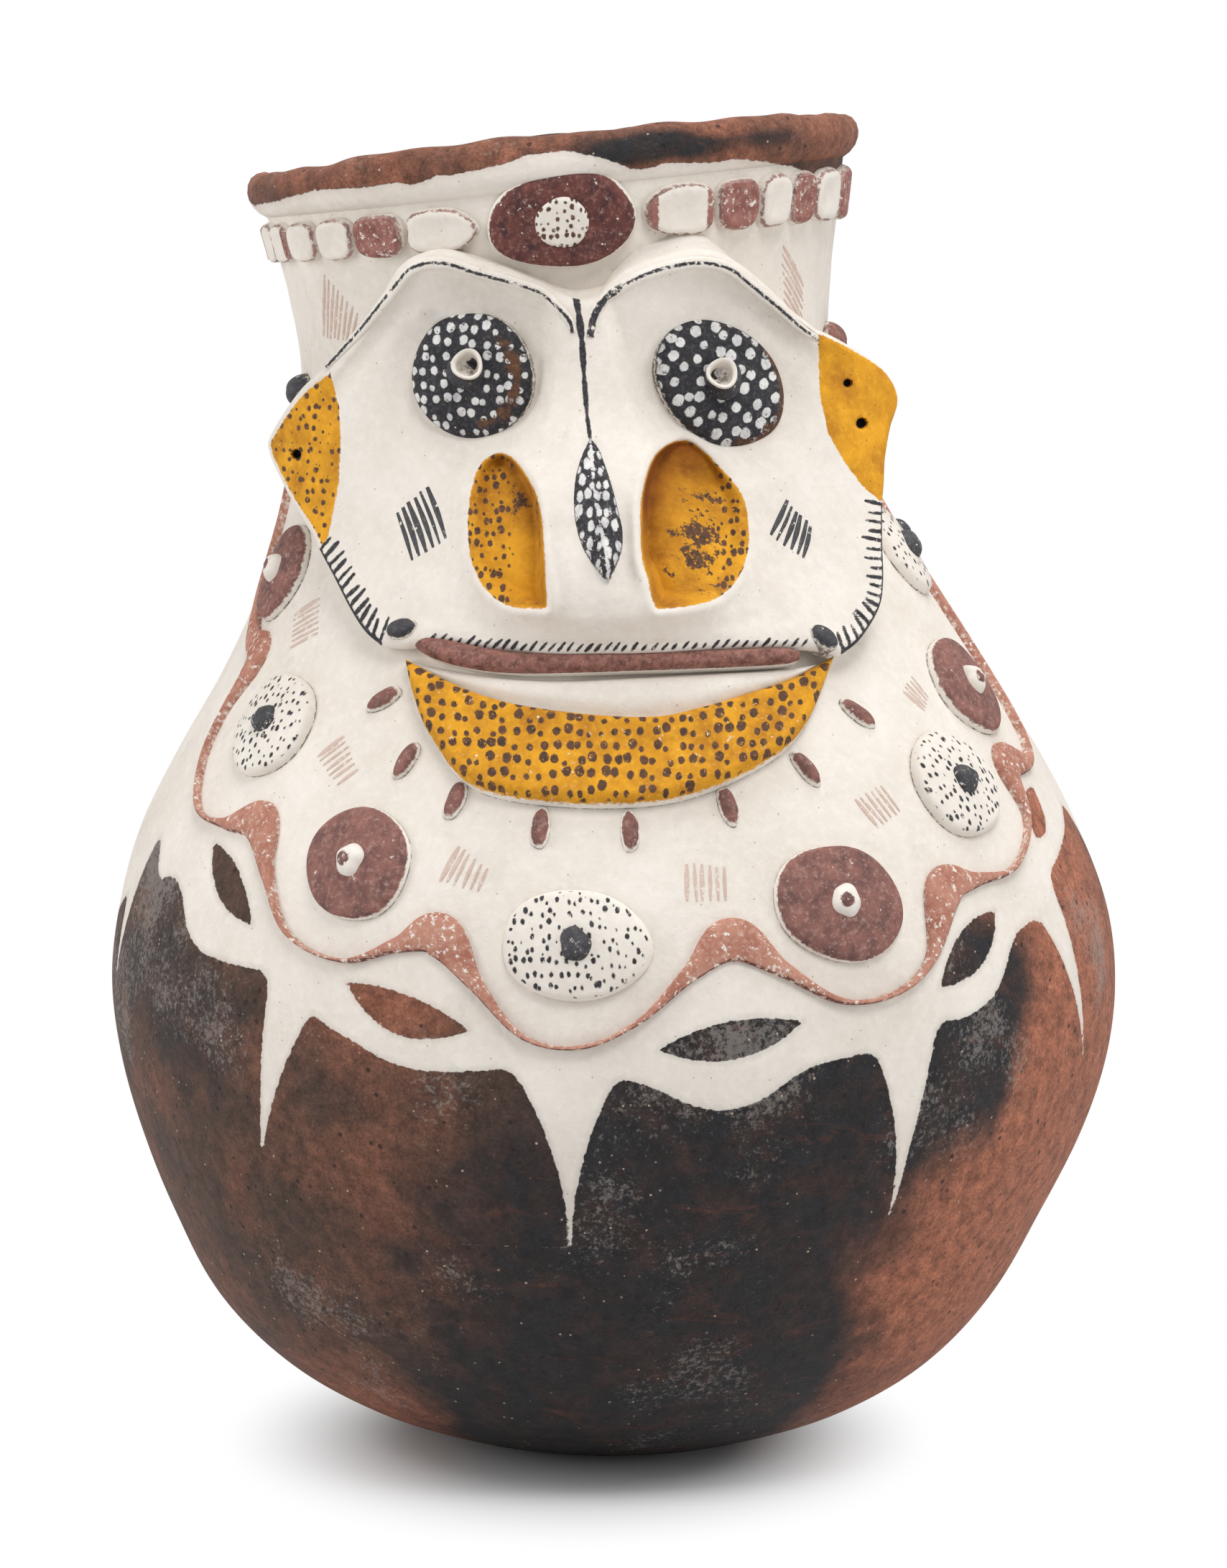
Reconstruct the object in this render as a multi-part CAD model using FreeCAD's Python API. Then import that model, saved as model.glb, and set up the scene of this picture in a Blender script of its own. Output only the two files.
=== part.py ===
import FreeCAD, Part
import math
import os

Vector = FreeCAD.Vector

# Vessel. Heights are from the floor, radii from its leaning axis
seat_height = 648.0
belly_radius = 261.5
wall_thickness = 10.0
floor_thickness = 15.0
neck_slump = 30.0
rim_tilt = 6.0
rim_height = 23.5
rim_bulge = 8.5
overrun = 40.0
# Steps for measuring a surface's slope, in degrees and as a share
turn_step = 1.0
step_share = 0.02
half_turn = 180.0

# Widest height, and where the potter let each stage stiffen, as shares of the seat height
belly_share = 0.375
base_top_share = 0.093
lower_top_share = 0.255
belly_top_share = 0.463
shoulder_top_share = 0.741

# Each row is a height along the axis, the radius there, how far the axis has slumped to the left
# and how far the section has tilted with it
profile_shares = (
    (0.000, 0.237, 0.07, 0.00),
    (0.011, 0.352, 0.07, 0.00),
    (0.034, 0.509, 0.07, 0.00),
    (0.071, 0.658, 0.10, 0.00),
    (0.123, 0.780, 0.13, 0.00),
    (0.188, 0.868, 0.10, 0.00),
    (0.255, 0.941, 0.03, 0.00),
    (0.316, 0.985, 0.00, 0.00),
    (0.375, 1.000, 0.00, 0.00),
    (0.432, 0.983, 0.00, 0.00),
    (0.494, 0.933, 0.07, 0.00),
    (0.556, 0.855, 0.10, 0.00),
    (0.617, 0.761, 0.17, 0.00),
    (0.679, 0.673, 0.30, 0.00),
    (0.741, 0.593, 0.47, 0.00),
    (0.802, 0.541, 0.67, 0.00),
    (0.864, 0.522, 0.80, 0.10),
    (0.926, 0.537, 0.90, 0.50),
    (0.963, 0.554, 0.95, 0.75),
    (1.000, 0.572, 1.00, 1.00),
)

# Outline of the lip: distance out of the neck's wall, then height
rim_outline_shares = (
    (0.00, 0.00),
    (0.75, 0.22),
    (1.00, 0.55),
    (0.70, 0.88),
    (-0.10, 1.00),
    (-0.95, 0.86),
    (-1.35, 0.50),
)

# Band of thumb-pressed pads under the lip, parallel to it
pad_height = 20.0
pad_proud = 6.0
pad_round = 4.5
pad_crease = 1.2
band_drop = 15.0
# Each row is a pad's middle angle and the angle that it covers, in degrees
left_pads = ((-68.0, 10.0), (-57.0, 12.0), (-45.5, 11.0), (-34.7, 10.5), (-22.3, 14.0))
right_pads = ((24.5, 15.5), (37.3, 10.0), (46.9, 9.0), (56.7, 10.5))
back_pad_first = 68.0
back_pad_pitch = 12.5
back_pad_count = 18

# Forehead medallion
medallion_half_width = 36.0
medallion_half_height = 24.0
medallion_proud = 9.0
medallion_angle = 1.5
medallion_height_share = 0.977
medallion_centre_half_width = 13.0
medallion_centre_half_height = 12.5
medallion_centre_proud = 2.5

# Face slab, measured from the mouth line up and from its middle out. It spans the jar from the top of
# the shoulder to just under the band of pads, whatever the jar's size
mouth_share = 0.656
face_rise_share = 0.293
face_width_share = 0.574
mouth_height = seat_height * mouth_share
face_height = seat_height * face_rise_share
face_half_width = belly_radius * face_width_share
plate_proud = 13.0
plate_edge_thickness = 12.0
face_curve_share = 1.34
face_reach_share = 1.20
wedge_width_share = 0.45
wedge_depth_share = 0.20
# The middle of the face wanders to the right on its way down
face_middle_top = -19.0
face_middle_drift = 18.5
face_levels = 7
face_spare_share = 0.1

brow_shares = (
    (-0.84, 0.70),
    (-0.71, 0.81),
    (-0.56, 0.95),
    (-0.42, 1.00),
    (-0.22, 0.95),
    (-0.06, 0.88),
    (0.00, 0.86),
    (0.07, 0.88),
    (0.22, 0.96),
    (0.40, 1.00),
    (0.55, 0.95),
    (0.69, 0.84),
    (0.78, 0.78),
)
right_ear_root_shares = ((0.78, 0.78), (0.77, 0.64), (0.82, 0.47), (0.94, 0.37))
right_jaw_shares = ((0.94, 0.37), (0.91, 0.25), (0.88, 0.12), (0.81, 0.04), (0.72, 0.00))
mouth_line_shares = ((0.72, 0.00), (0.40, 0.03), (0.00, 0.03), (-0.40, 0.04), (-0.72, 0.02))
left_jaw_shares = ((-0.72, 0.02), (-0.79, 0.06), (-0.84, 0.12), (-0.92, 0.24))
left_ear_root_shares = ((-0.92, 0.24), (-0.85, 0.41), (-0.82, 0.57), (-0.84, 0.70))
left_ear_shares = ((-0.84, 0.70), (-0.96, 0.62), (-1.08, 0.50), (-1.03, 0.39), (-0.92, 0.24))
right_ear_shares = ((0.94, 0.37), (0.97, 0.50), (1.03, 0.61), (0.97, 0.70), (0.87, 0.755), (0.78, 0.78))
ear_thickness = 11.0
ear_hole_radius = 2.4
left_ear_hole_shares = ((-0.99, 0.48),)
right_ear_hole_shares = ((0.87, 0.67), (0.90, 0.56))

# Thin coils along the two brows, from the ear to the bridge of the nose
brow_coil_width = 6.5
brow_coil_proud = 3.0
brow_coil_sink = 1.0
left_brow_shares = (
    (-0.82, 0.715),
    (-0.71, 0.805),
    (-0.565, 0.94),
    (-0.42, 0.99),
    (-0.22, 0.94),
    (-0.07, 0.87),
    (-0.02, 0.81),
)
right_brow_shares = (
    (0.05, 0.81),
    (0.08, 0.87),
    (0.22, 0.95),
    (0.40, 0.99),
    (0.55, 0.94),
    (0.69, 0.83),
    (0.76, 0.785),
)

# Eyes: a dished socket, a domed disc in it and a tube on the disc
socket_radius = 190.0
socket_depth = 8.0
eye_half_width = 32.0
eye_half_height = 33.0
eye_proud = 10.0
left_eye_shares = (-0.36, 0.69)
right_eye_shares = (0.435, 0.675)
eye_tube_radius = 8.0
eye_tube_bore = 4.6
eye_tube_length = 13.0
left_tube_shares = (-0.385, 0.725)
right_tube_shares = (0.45, 0.70)

# Nose, as rows of height, half width and how far it stands out of the slab
nose_half_width = 77.0
nose_proud = 32.0
nose_sink = 9.0
nose_back = 24.0
nose_rows_shares = (
    (0.90, 0.16, 0.05),
    (0.78, 0.20, 0.22),
    (0.64, 0.26, 0.40),
    (0.54, 0.45, 0.62),
    (0.44, 0.78, 0.86),
    (0.32, 0.97, 0.98),
    (0.20, 1.00, 1.00),
    (0.11, 0.94, 0.75),
    (0.05, 0.80, 0.30),
)
nose_loft_degree = 3
nose_shoulder_share = 0.58
nose_shoulder_rise_share = 0.80
# Nostril cups, scooped out of the two sides
nostril_depth = 20.0
left_nostril_shares = (-0.30, 0.30)
left_nostril_half_width = 21.0
left_nostril_half_height = 37.0
right_nostril_shares = (0.32, 0.31)
right_nostril_half_width = 28.0
right_nostril_half_height = 40.0
nostril_out_share = 0.72

# Keel down the nose: height, width and rise
keel_width = 26.0
keel_proud = 11.0
keel_rows_shares = (
    (0.54, 0.12, 0.30),
    (0.46, 0.62, 0.75),
    (0.37, 0.95, 1.00),
    (0.28, 1.00, 1.00),
    (0.20, 0.52, 0.85),
    (0.15, 0.12, 0.40),
)

# Mouth: a long strip under the slab's lower edge and a softer lip below it
lip_thickness = 14.0
lip_depth = 30.0
lip_set_back = 11.0
upper_lip_shares = ((-0.62, 0.000), (-0.42, -0.015), (0.00, -0.020), (0.35, -0.012), (0.61, -0.005))
lower_lip_thickness = 22.0
lower_lip_depth = 26.0
lower_lip_set_back = 16.0
lower_lip_shares = ((-0.58, -0.055), (-0.38, -0.085), (0.00, -0.105), (0.32, -0.085), (0.57, -0.055))
lip_end_share = 0.45
corner_half_width = 8.0
corner_half_height = 5.5
corner_proud = 5.0
left_corner_shares = (-0.69, 0.055)
right_corner_shares = (0.69, 0.035)

# Chin crescent and the pellets fanned below it
crescent_proud = 11.0
crescent_top_shares = (
    (-0.67, -0.03),
    (-0.45, -0.10),
    (-0.20, -0.13),
    (0.08, -0.14),
    (0.39, -0.10),
    (0.71, -0.03),
)
crescent_bottom_shares = (
    (0.71, -0.03),
    (0.59, -0.19),
    (0.43, -0.27),
    (0.15, -0.34),
    (-0.19, -0.35),
    (-0.48, -0.32),
    (-0.60, -0.21),
    (-0.67, -0.03),
)
pellet_half_length = 8.5
pellet_half_width = 4.8
pellet_proud = 4.5
# Each row is an angle, a height and the turn of the pellet from upright, in degrees
pellet_rows_shares = (
    (-32.5, 0.623, -52.0),
    (-26.5, 0.581, -22.0),
    (-18.8, 0.555, -12.0),
    (-8.0, 0.537, -4.0),
    (2.6, 0.535, 0.0),
    (14.8, 0.551, 10.0),
    (26.3, 0.575, 24.0),
    (37.5, 0.611, 42.0),
)

# Domed bosses with knobs, hung in a festoon from the sides of the neck
boss_half_width = 31.0
boss_half_height = 27.5
boss_proud = 8.0
dome_edge_share = 0.55
embed_share = 0.85
boss_knob_radius = 8.0
boss_knob_proud = 9.0
# Each row is an angle, a height, and the width and height of the boss
boss_rows_shares = (
    (-67.0, 0.708, 0.85, 0.90),
    (-52.0, 0.596, 1.00, 1.00),
    (-30.5, 0.508, 0.94, 1.02),
    (-3.6, 0.453, 1.18, 0.96),
    (26.3, 0.480, 1.12, 1.03),
    (49.1, 0.552, 1.00, 1.02),
    (65.5, 0.618, 1.00, 0.95),
    (76.0, 0.715, 0.80, 0.88),
)

# Wavy ribbon below the bosses: angle, height and width. It swells into a leaf at each peak
ribbon_width = 20.0
ribbon_proud = 4.5
ribbon_sink = 1.2
ribbon_rows_shares = (
    (-90.0, 0.775, 0.25),
    (-83.0, 0.722, 0.28),
    (-72.0, 0.655, 0.62),
    (-66.0, 0.640, 0.95),
    (-67.5, 0.598, 0.32),
    (-66.0, 0.560, 0.22),
    (-60.5, 0.525, 0.22),
    (-53.5, 0.519, 0.40),
    (-46.5, 0.524, 1.00),
    (-42.5, 0.487, 0.48),
    (-38.0, 0.447, 0.24),
    (-30.5, 0.432, 0.22),
    (-24.5, 0.452, 0.55),
    (-20.3, 0.459, 1.00),
    (-15.5, 0.422, 0.45),
    (-9.5, 0.384, 0.22),
    (-3.5, 0.377, 0.20),
    (2.5, 0.397, 0.25),
    (7.5, 0.436, 0.55),
    (12.0, 0.457, 1.00),
    (17.5, 0.434, 0.48),
    (24.5, 0.405, 0.25),
    (31.5, 0.408, 0.25),
    (36.5, 0.430, 0.42),
    (40.8, 0.478, 1.00),
    (46.5, 0.482, 0.50),
    (54.0, 0.486, 0.25),
    (61.5, 0.518, 0.30),
    (63.5, 0.558, 1.00),
    (72.0, 0.556, 0.45),
    (78.0, 0.590, 0.30),
    (81.5, 0.640, 0.40),
    (84.0, 0.705, 0.60),
    (90.0, 0.775, 0.25),
)
# Rows where one strip ends and the next begins
leaf_rows = (0, 3, 8, 13, 19, 24, 28, 33)
left_swags = 3

# Small knobs on the two sides of the neck
neck_knob_radius = 9.0
neck_knob_proud = 11.0
left_neck_knob_shares = (-75.0, 0.842)
right_neck_knob_shares = (80.0, 0.876)


def profile_value(share, column):
    # Smooth curve through the profile's rows
    rows = profile_shares
    last = len(rows) - 1
    index = 0
    while index < last - 1 and share > rows[index + 1][0]:
        index += 1
    before = rows[max(index - 1, 0)]
    start = rows[index]
    end = rows[index + 1]
    after = rows[min(index + 2, last)]
    width = end[0] - start[0]
    part = (share - start[0]) / width
    leave = (end[column] - before[column]) / (end[0] - before[0]) * width
    arrive = (after[column] - start[column]) / (after[0] - start[0]) * width
    cubic = 2 * start[column] + leave - 2 * end[column] + arrive
    square = 3 * end[column] - 3 * start[column] - 2 * leave - arrive
    return ((cubic * part + square) * part + leave) * part + start[column]


def radius_at(height):
    return belly_radius * profile_value(height / seat_height, 1)


def axis_at(height):
    return -neck_slump * profile_value(height / seat_height, 2)


def section_frame(height):
    # Middle of the jar's section at one height along the axis, and the section's sideways direction
    tilt = math.radians(rim_tilt * profile_value(height / seat_height, 3))
    return Vector(axis_at(height), 0, height), Vector(math.cos(tilt), 0, math.sin(tilt))


def wall_point(angle, height):
    turn = math.radians(angle)
    centre, side = section_frame(height)
    return centre + (side * math.sin(turn) - Vector(0, math.cos(turn), 0)) * radius_at(height)


def frame(origin, outward, upward):
    # Placement whose Z axis points out of the clay and whose Y axis points up along it
    normal = Vector(outward).normalize()
    side = upward.cross(normal).normalize()
    rise = normal.cross(side)
    matrix = FreeCAD.Matrix(
        side.x, rise.x, normal.x, origin.x,
        side.y, rise.y, normal.y, origin.y,
        side.z, rise.z, normal.z, origin.z,
    )
    return FreeCAD.Placement(matrix)


def wall_frame(angle, height):
    step = wall_thickness / 2
    around = wall_point(angle + turn_step, height) - wall_point(angle - turn_step, height)
    rising = wall_point(angle, height + step) - wall_point(angle, height - step)
    return frame(wall_point(angle, height), around.cross(rising), Vector(0, 0, 1))


def section_circle(height, lift, radius):
    centre, side = section_frame(height)
    normal = side.cross(Vector(0, 1, 0))
    return Part.Wire([Part.makeCircle(radius, centre + Vector(0, 0, lift), normal)])


def vessel_form(proud):
    # The jar as a filled body, grown outward by proud
    wires = []
    for row in profile_shares:
        wires.append(section_circle(seat_height * row[0], 0, belly_radius * row[1] + proud))
    return Part.makeLoft(wires, True)


def vessel_hollow():
    # The clay lies thicker over the base, so the inside is lifted there
    wires = []
    for row in profile_shares:
        lift = floor_thickness * max(0.0, 1 - row[0] / belly_share)
        wires.append(section_circle(seat_height * row[0], lift, belly_radius * row[1] - wall_thickness))
    return Part.makeLoft(wires, True)


def vessel_walls(body):
    clay = body.cut(vessel_hollow())
    reach = 2 * (belly_radius + overrun)
    stages = ("base_bowl", "lower_wall", "belly_wall", "shoulder_wall", "neck_wall")
    cuts = (base_top_share, lower_top_share, belly_top_share, shoulder_top_share)
    levels = [-overrun] + [seat_height * share for share in cuts] + [seat_height + 2 * overrun]
    walls = {}
    for name, low, high in zip(stages, levels, levels[1:]):
        corner = Vector(-reach / 2, -reach / 2, low)
        walls[name] = clay.common(Part.makeBox(reach, reach, high - low, corner))
    return walls


def rim_lip():
    outer = belly_radius * profile_shares[-1][1]
    points = []
    for out_share, rise_share in rim_outline_shares:
        points.append(Vector(outer + rim_bulge * out_share, 0, rim_height * rise_share))
    crown = Part.BSplineCurve()
    crown.interpolate(points)
    inner = Vector(outer - wall_thickness, 0, 0)
    edges = [
        crown.toShape(),
        Part.makeLine(points[-1], inner),
        Part.makeLine(inner, points[0]),
    ]
    lip = Part.Face(Part.Wire(edges)).revolve(Vector(0, 0, 0), Vector(0, 0, 1), 360)
    centre, side = section_frame(seat_height)
    lip.Placement = frame(centre, side.cross(Vector(0, 1, 0)), Vector(0, 1, 0))
    return lip


def dome(half_width, half_height, proud, embed):
    # A flat-sided lump with a crowned top, standing on Z = 0 and sunk by embed
    edge = proud * dome_edge_share
    drop = proud - edge
    crown_radius = (half_width * half_width + drop * drop) / (2 * drop)
    middle = half_width / 2
    middle_height = proud - crown_radius + math.sqrt(crown_radius * crown_radius - middle * middle)
    foot = Vector(half_width, 0, -embed)
    rim = Vector(half_width, 0, edge)
    top = Vector(0, 0, proud)
    under = Vector(0, 0, -embed)
    crown = Part.Arc(rim, Vector(middle, 0, middle_height), top).toShape()
    edges = [Part.makeLine(under, foot), Part.makeLine(foot, rim), crown, Part.makeLine(top, under)]
    solid = Part.Face(Part.Wire(edges)).revolve(Vector(0, 0, 0), Vector(0, 0, 1), 360)
    if half_height != half_width:
        stretch = FreeCAD.Matrix()
        stretch.scale(1.0, half_height / half_width, 1.0)
        solid = solid.transformGeometry(stretch)
    return solid


def placed(shape, placement, turn=0.0):
    spin = FreeCAD.Placement(Vector(0, 0, 0), FreeCAD.Rotation(Vector(0, 0, 1), turn))
    moved = shape.copy()
    moved.Placement = placement.multiply(spin).multiply(shape.Placement)
    return moved


def seated(shape, carriers):
    # What is left outside the clay that carries it, so that the two meet face to face
    for carrier in carriers:
        shape = shape.cut(carrier)
    return max(shape.Solids, key=lambda solid: solid.Volume)


def pad(angle, cover):
    height = seat_height - band_drop
    width = radius_at(height) * math.radians(cover) - pad_crease
    embed = wall_thickness * embed_share
    corner = Vector(-width / 2, -pad_height / 2, -embed)
    block = Part.makeBox(width, pad_height, embed + pad_proud, corner)
    soft = [edge for edge in block.Edges if edge.CenterOfMass.z > 0 or abs(edge.tangentAt(0).z) > 1 / 2]
    return placed(block.makeFillet(pad_round, soft), wall_frame(angle, height))


def face_middle(height):
    share = (height - mouth_height) / face_height
    return face_middle_top + face_middle_drift * (1 - share)


def face_front(across, height):
    # Depth of the slab's front, which is rounder than flat but flatter than the neck
    curve = face_half_width * face_curve_share
    crown = radius_at(height) + plate_proud
    return -crown + curve - math.sqrt(curve * curve - across * across)


def face_point(shares, lift=0.0):
    height = mouth_height + face_height * shares[1]
    across = face_half_width * shares[0]
    return Vector(face_middle(height) + across, face_front(across, height) - lift, height)


def face_frame(shares, lift=0.0):
    across, up = shares
    around = face_point((across + step_share, up)) - face_point((across - step_share, up))
    rising = face_point((across, up + step_share)) - face_point((across, up - step_share))
    return frame(face_point(shares, lift), around.cross(rising), Vector(0, 0, 1))


def face_section(height, thickness, wedge):
    # Plan of the slab at one height: a wide arc, closed straight behind
    curve = face_half_width * face_curve_share
    reach = face_half_width * face_reach_share
    middle = face_middle(height)
    centre = Vector(middle, face_front(0, height) + curve, height)
    angle = math.asin(reach / curve)
    ends = []
    for side in (-1, 1):
        out = Vector(side * math.sin(angle), -math.cos(angle), 0)
        ends.append((centre + out * curve, centre + out * (curve - thickness)))
    front = Part.Arc(ends[0][0], centre - Vector(0, curve, 0), ends[1][0]).toShape()
    edges = [front, Part.makeLine(ends[1][0], ends[1][1])]
    if wedge:
        across = face_half_width * wedge_width_share
        depth = radius_at(height) * wedge_depth_share
        right = Vector(middle + across, -depth, height)
        left = Vector(middle - across, -depth, height)
        edges.append(Part.makeLine(ends[1][1], right))
        edges.append(Part.makeLine(right, left))
        edges.append(Part.makeLine(left, ends[0][1]))
    else:
        back = centre - Vector(0, curve - thickness, 0)
        edges.append(Part.Arc(ends[1][1], back, ends[0][1]).toShape())
    edges.append(Part.makeLine(ends[0][1], ends[0][0]))
    return Part.Wire(edges)


def face_shell(thickness, wedge):
    wires = []
    low = mouth_height - face_height * face_spare_share
    high = mouth_height + face_height * (1 + face_spare_share)
    for level in range(face_levels):
        height = low + (high - low) * level / (face_levels - 1)
        wires.append(face_section(height, thickness, wedge))
    return Part.makeLoft(wires, True)


def front_outline(sides):
    # A closed outline in the front view, drawn through to behind the jar's axis
    edges = []
    for side in sides:
        points = []
        for shares in side:
            height = mouth_height + face_height * shares[1]
            points.append(Vector(face_middle(height) + face_half_width * shares[0], 0, height))
        curve = Part.BSplineCurve()
        curve.interpolate(points)
        edges.append(curve.toShape())
    face = Part.Face(Part.Wire(edges))
    return face.extrude(Vector(0, -belly_radius - overrun, 0))


def coil_rings(points, normals, widths, rises):
    # A strip of clay laid along points, as an oval across it at each point
    wires = []
    last = len(points) - 1
    for index, point in enumerate(points):
        along = points[min(index + 1, last)] - points[max(index - 1, 0)]
        across = normals[index].cross(along).normalize()
        out = along.cross(across).normalize()
        first = point + across * (widths[index] / 2)
        second = point - across * (widths[index] / 2)
        over = Part.Arc(first, point + out * rises[index], second).toShape()
        under = Part.Arc(second, point - out * rises[index], first).toShape()
        wires.append(Part.Wire([over, under]))
    return wires


def face_coil(rows, set_back, width, depth, end_share):
    points = []
    normals = []
    widths = []
    rises = []
    last = len(rows) - 1
    for index, shares in enumerate(rows):
        place = face_frame(shares)
        normal = place.Rotation.multVec(Vector(0, 0, 1))
        fade = end_share if index in (0, last) else 1.0
        points.append(place.Base - normal * set_back)
        normals.append(normal)
        widths.append(width * fade)
        rises.append(depth / 2)
    return Part.makeLoft(coil_rings(points, normals, widths, rises), True)


def ribbon_swags():
    # One strip from leaf to leaf, each sharing its end ovals with the next. The row beyond each end is
    # the neighbour round the side, so that front and back meet square
    points = []
    normals = []
    widths = []
    first = ribbon_rows_shares[1]
    last = ribbon_rows_shares[-2]
    around_left = ((-half_turn - first[0], first[1], first[2]),)
    around_right = ((half_turn - last[0], last[1], last[2]),)
    for angle, height_share, width_share in around_left + ribbon_rows_shares + around_right:
        place = wall_frame(angle, seat_height * height_share)
        normal = place.Rotation.multVec(Vector(0, 0, 1))
        points.append(place.Base - normal * ribbon_sink)
        normals.append(normal)
        widths.append(ribbon_width * width_share)
    rings = coil_rings(points, normals, widths, [ribbon_proud + ribbon_sink] * len(points))[1:-1]
    return [Part.makeLoft(rings[start : end + 1], True) for start, end in zip(leaf_rows, leaf_rows[1:])]


def eye_socket(shares):
    place = face_frame(shares)
    normal = place.Rotation.multVec(Vector(0, 0, 1))
    return Part.makeSphere(socket_radius, place.Base + normal * (socket_radius - socket_depth))


def eye_disc(shares):
    embed = plate_edge_thickness
    disc = dome(eye_half_width, eye_half_height, eye_proud, embed)
    return placed(disc, face_frame(shares, -socket_depth))


def eye_tube(shares):
    length = eye_tube_length + eye_proud
    ring = Part.makeCylinder(eye_tube_radius, length).cut(Part.makeCylinder(eye_tube_bore, length))
    return placed(ring, face_frame(shares, -socket_depth))


def nose_section(height, half_width, proud):
    middle = face_middle(height)
    crown = face_front(0, height)
    foot = face_front(half_width, height)
    shoulder = half_width * nose_shoulder_share
    rise = face_front(shoulder, height) - proud * nose_shoulder_rise_share
    points = [
        Vector(middle - half_width, foot + nose_sink, height),
        Vector(middle - shoulder, rise, height),
        Vector(middle, crown - proud, height),
        Vector(middle + shoulder, rise, height),
        Vector(middle + half_width, foot + nose_sink, height),
    ]
    front = Part.BSplineCurve()
    front.interpolate(points)
    back_left = points[0] + Vector(0, nose_back, 0)
    back_right = points[-1] + Vector(0, nose_back, 0)
    edges = [
        front.toShape(),
        Part.makeLine(points[-1], back_right),
        Part.makeLine(back_right, back_left),
        Part.makeLine(back_left, points[0]),
    ]
    return Part.Wire(edges)


def nostril(shares, half_width, half_height):
    ball = Part.makeSphere(1.0)
    stretch = FreeCAD.Matrix()
    stretch.scale(half_width, nostril_depth, half_height)
    cup = ball.transformGeometry(stretch)
    cup.Placement = FreeCAD.Placement(face_point(shares, nose_proud * nostril_out_share), FreeCAD.Rotation())
    return cup


def nose_form():
    wires = []
    for height_share, width_share, proud_share in nose_rows_shares:
        height = mouth_height + face_height * height_share
        wires.append(nose_section(height, nose_half_width * width_share, nose_proud * proud_share))
    mass = Part.makeLoft(wires, True, False, False, nose_loft_degree)
    mass = mass.cut(nostril(left_nostril_shares, left_nostril_half_width, left_nostril_half_height))
    return mass.cut(nostril(right_nostril_shares, right_nostril_half_width, right_nostril_half_height))


def nose_rise(height_share):
    # How far the crest of the nose stands out of the slab at one height
    rows = nose_rows_shares
    for upper, lower in zip(rows, rows[1:]):
        if lower[0] <= height_share <= upper[0]:
            part = (height_share - lower[0]) / (upper[0] - lower[0])
            return nose_proud * (lower[2] + (upper[2] - lower[2]) * part)
    return 0.0


def keel():
    points = []
    normals = []
    widths = []
    rises = []
    for height_share, width_share, rise_share in keel_rows_shares:
        points.append(face_point((0.0, height_share), nose_rise(height_share)))
        normals.append(Vector(0, -1, 0))
        widths.append(keel_width * width_share)
        rises.append(keel_proud * rise_share)
    return Part.makeLoft(coil_rings(points, normals, widths, rises), True)


def mirrored(shape):
    # The back of the jar carries the same festoon as the front
    return shape.mirror(Vector(0, 0, 0), Vector(0, 1, 0))


body = vessel_form(0)
pieces = vessel_walls(body)
pieces["rim_lip"] = rim_lip()

# Face slab, ears and what the slab carries
slab = face_shell(plate_edge_thickness, True)
flap = face_shell(ear_thickness, False)
slab_outline = front_outline(
    (brow_shares, right_ear_root_shares, right_jaw_shares, mouth_line_shares, left_jaw_shares,
     left_ear_root_shares)
)
face_plate = seated(slab.common(slab_outline), [body])
for shares in (left_eye_shares, right_eye_shares):
    face_plate = face_plate.cut(eye_socket(shares))
pieces["face_plate"] = face_plate

ears = (
    ("ear_left", left_ear_root_shares, left_ear_shares, left_ear_hole_shares),
    ("ear_right", right_ear_root_shares, right_ear_shares, right_ear_hole_shares),
)
for name, root, edge, holes in ears:
    ear = seated(flap.common(front_outline((root, edge))), [body])
    for shares in holes:
        start = face_point(shares, overrun)
        ear = ear.cut(Part.makeCylinder(ear_hole_radius, 2 * overrun, start, Vector(0, 1, 0)))
    pieces[name] = ear

nose = seated(nose_form(), [body, face_plate])
pieces["nose"] = nose
pieces["nose_ridge"] = seated(keel(), [nose, face_plate])

for side, rows in (("left", left_brow_shares), ("right", right_brow_shares)):
    brow_depth = 2 * (brow_coil_proud + brow_coil_sink)
    brow = face_coil(rows, brow_coil_sink, brow_coil_width, brow_depth, lip_end_share)
    pieces["brow_ridge_" + side] = seated(brow, [body, face_plate, nose])

for side, eye, tube in (
    ("left", left_eye_shares, left_tube_shares),
    ("right", right_eye_shares, right_tube_shares),
):
    disc = seated(eye_disc(eye), [body, face_plate, nose])
    pieces["eye_disc_" + side] = disc
    pieces["eye_tube_" + side] = seated(eye_tube(tube), [body, face_plate, disc])

# Mouth and chin
upper_lip = face_coil(upper_lip_shares, lip_set_back, lip_thickness, lip_depth, lip_end_share)
upper_lip = seated(upper_lip, [body, face_plate, nose])
pieces["upper_lip"] = upper_lip
crescent_form = vessel_form(crescent_proud).common(
    front_outline((crescent_top_shares, crescent_bottom_shares))
)
crescent = seated(crescent_form, [body, upper_lip])
pieces["chin_crescent"] = crescent
lower_lip = face_coil(
    lower_lip_shares, lower_lip_set_back, lower_lip_thickness, lower_lip_depth, lip_end_share
)
pieces["lower_lip"] = seated(lower_lip, [body, face_plate, upper_lip, crescent])

for side, shares in (("left", left_corner_shares), ("right", right_corner_shares)):
    pellet = dome(corner_half_width, corner_half_height, corner_proud, plate_edge_thickness)
    pellet = placed(pellet, face_frame(shares))
    pieces["mouth_corner_" + side] = seated(pellet, [body, face_plate, upper_lip])

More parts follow.
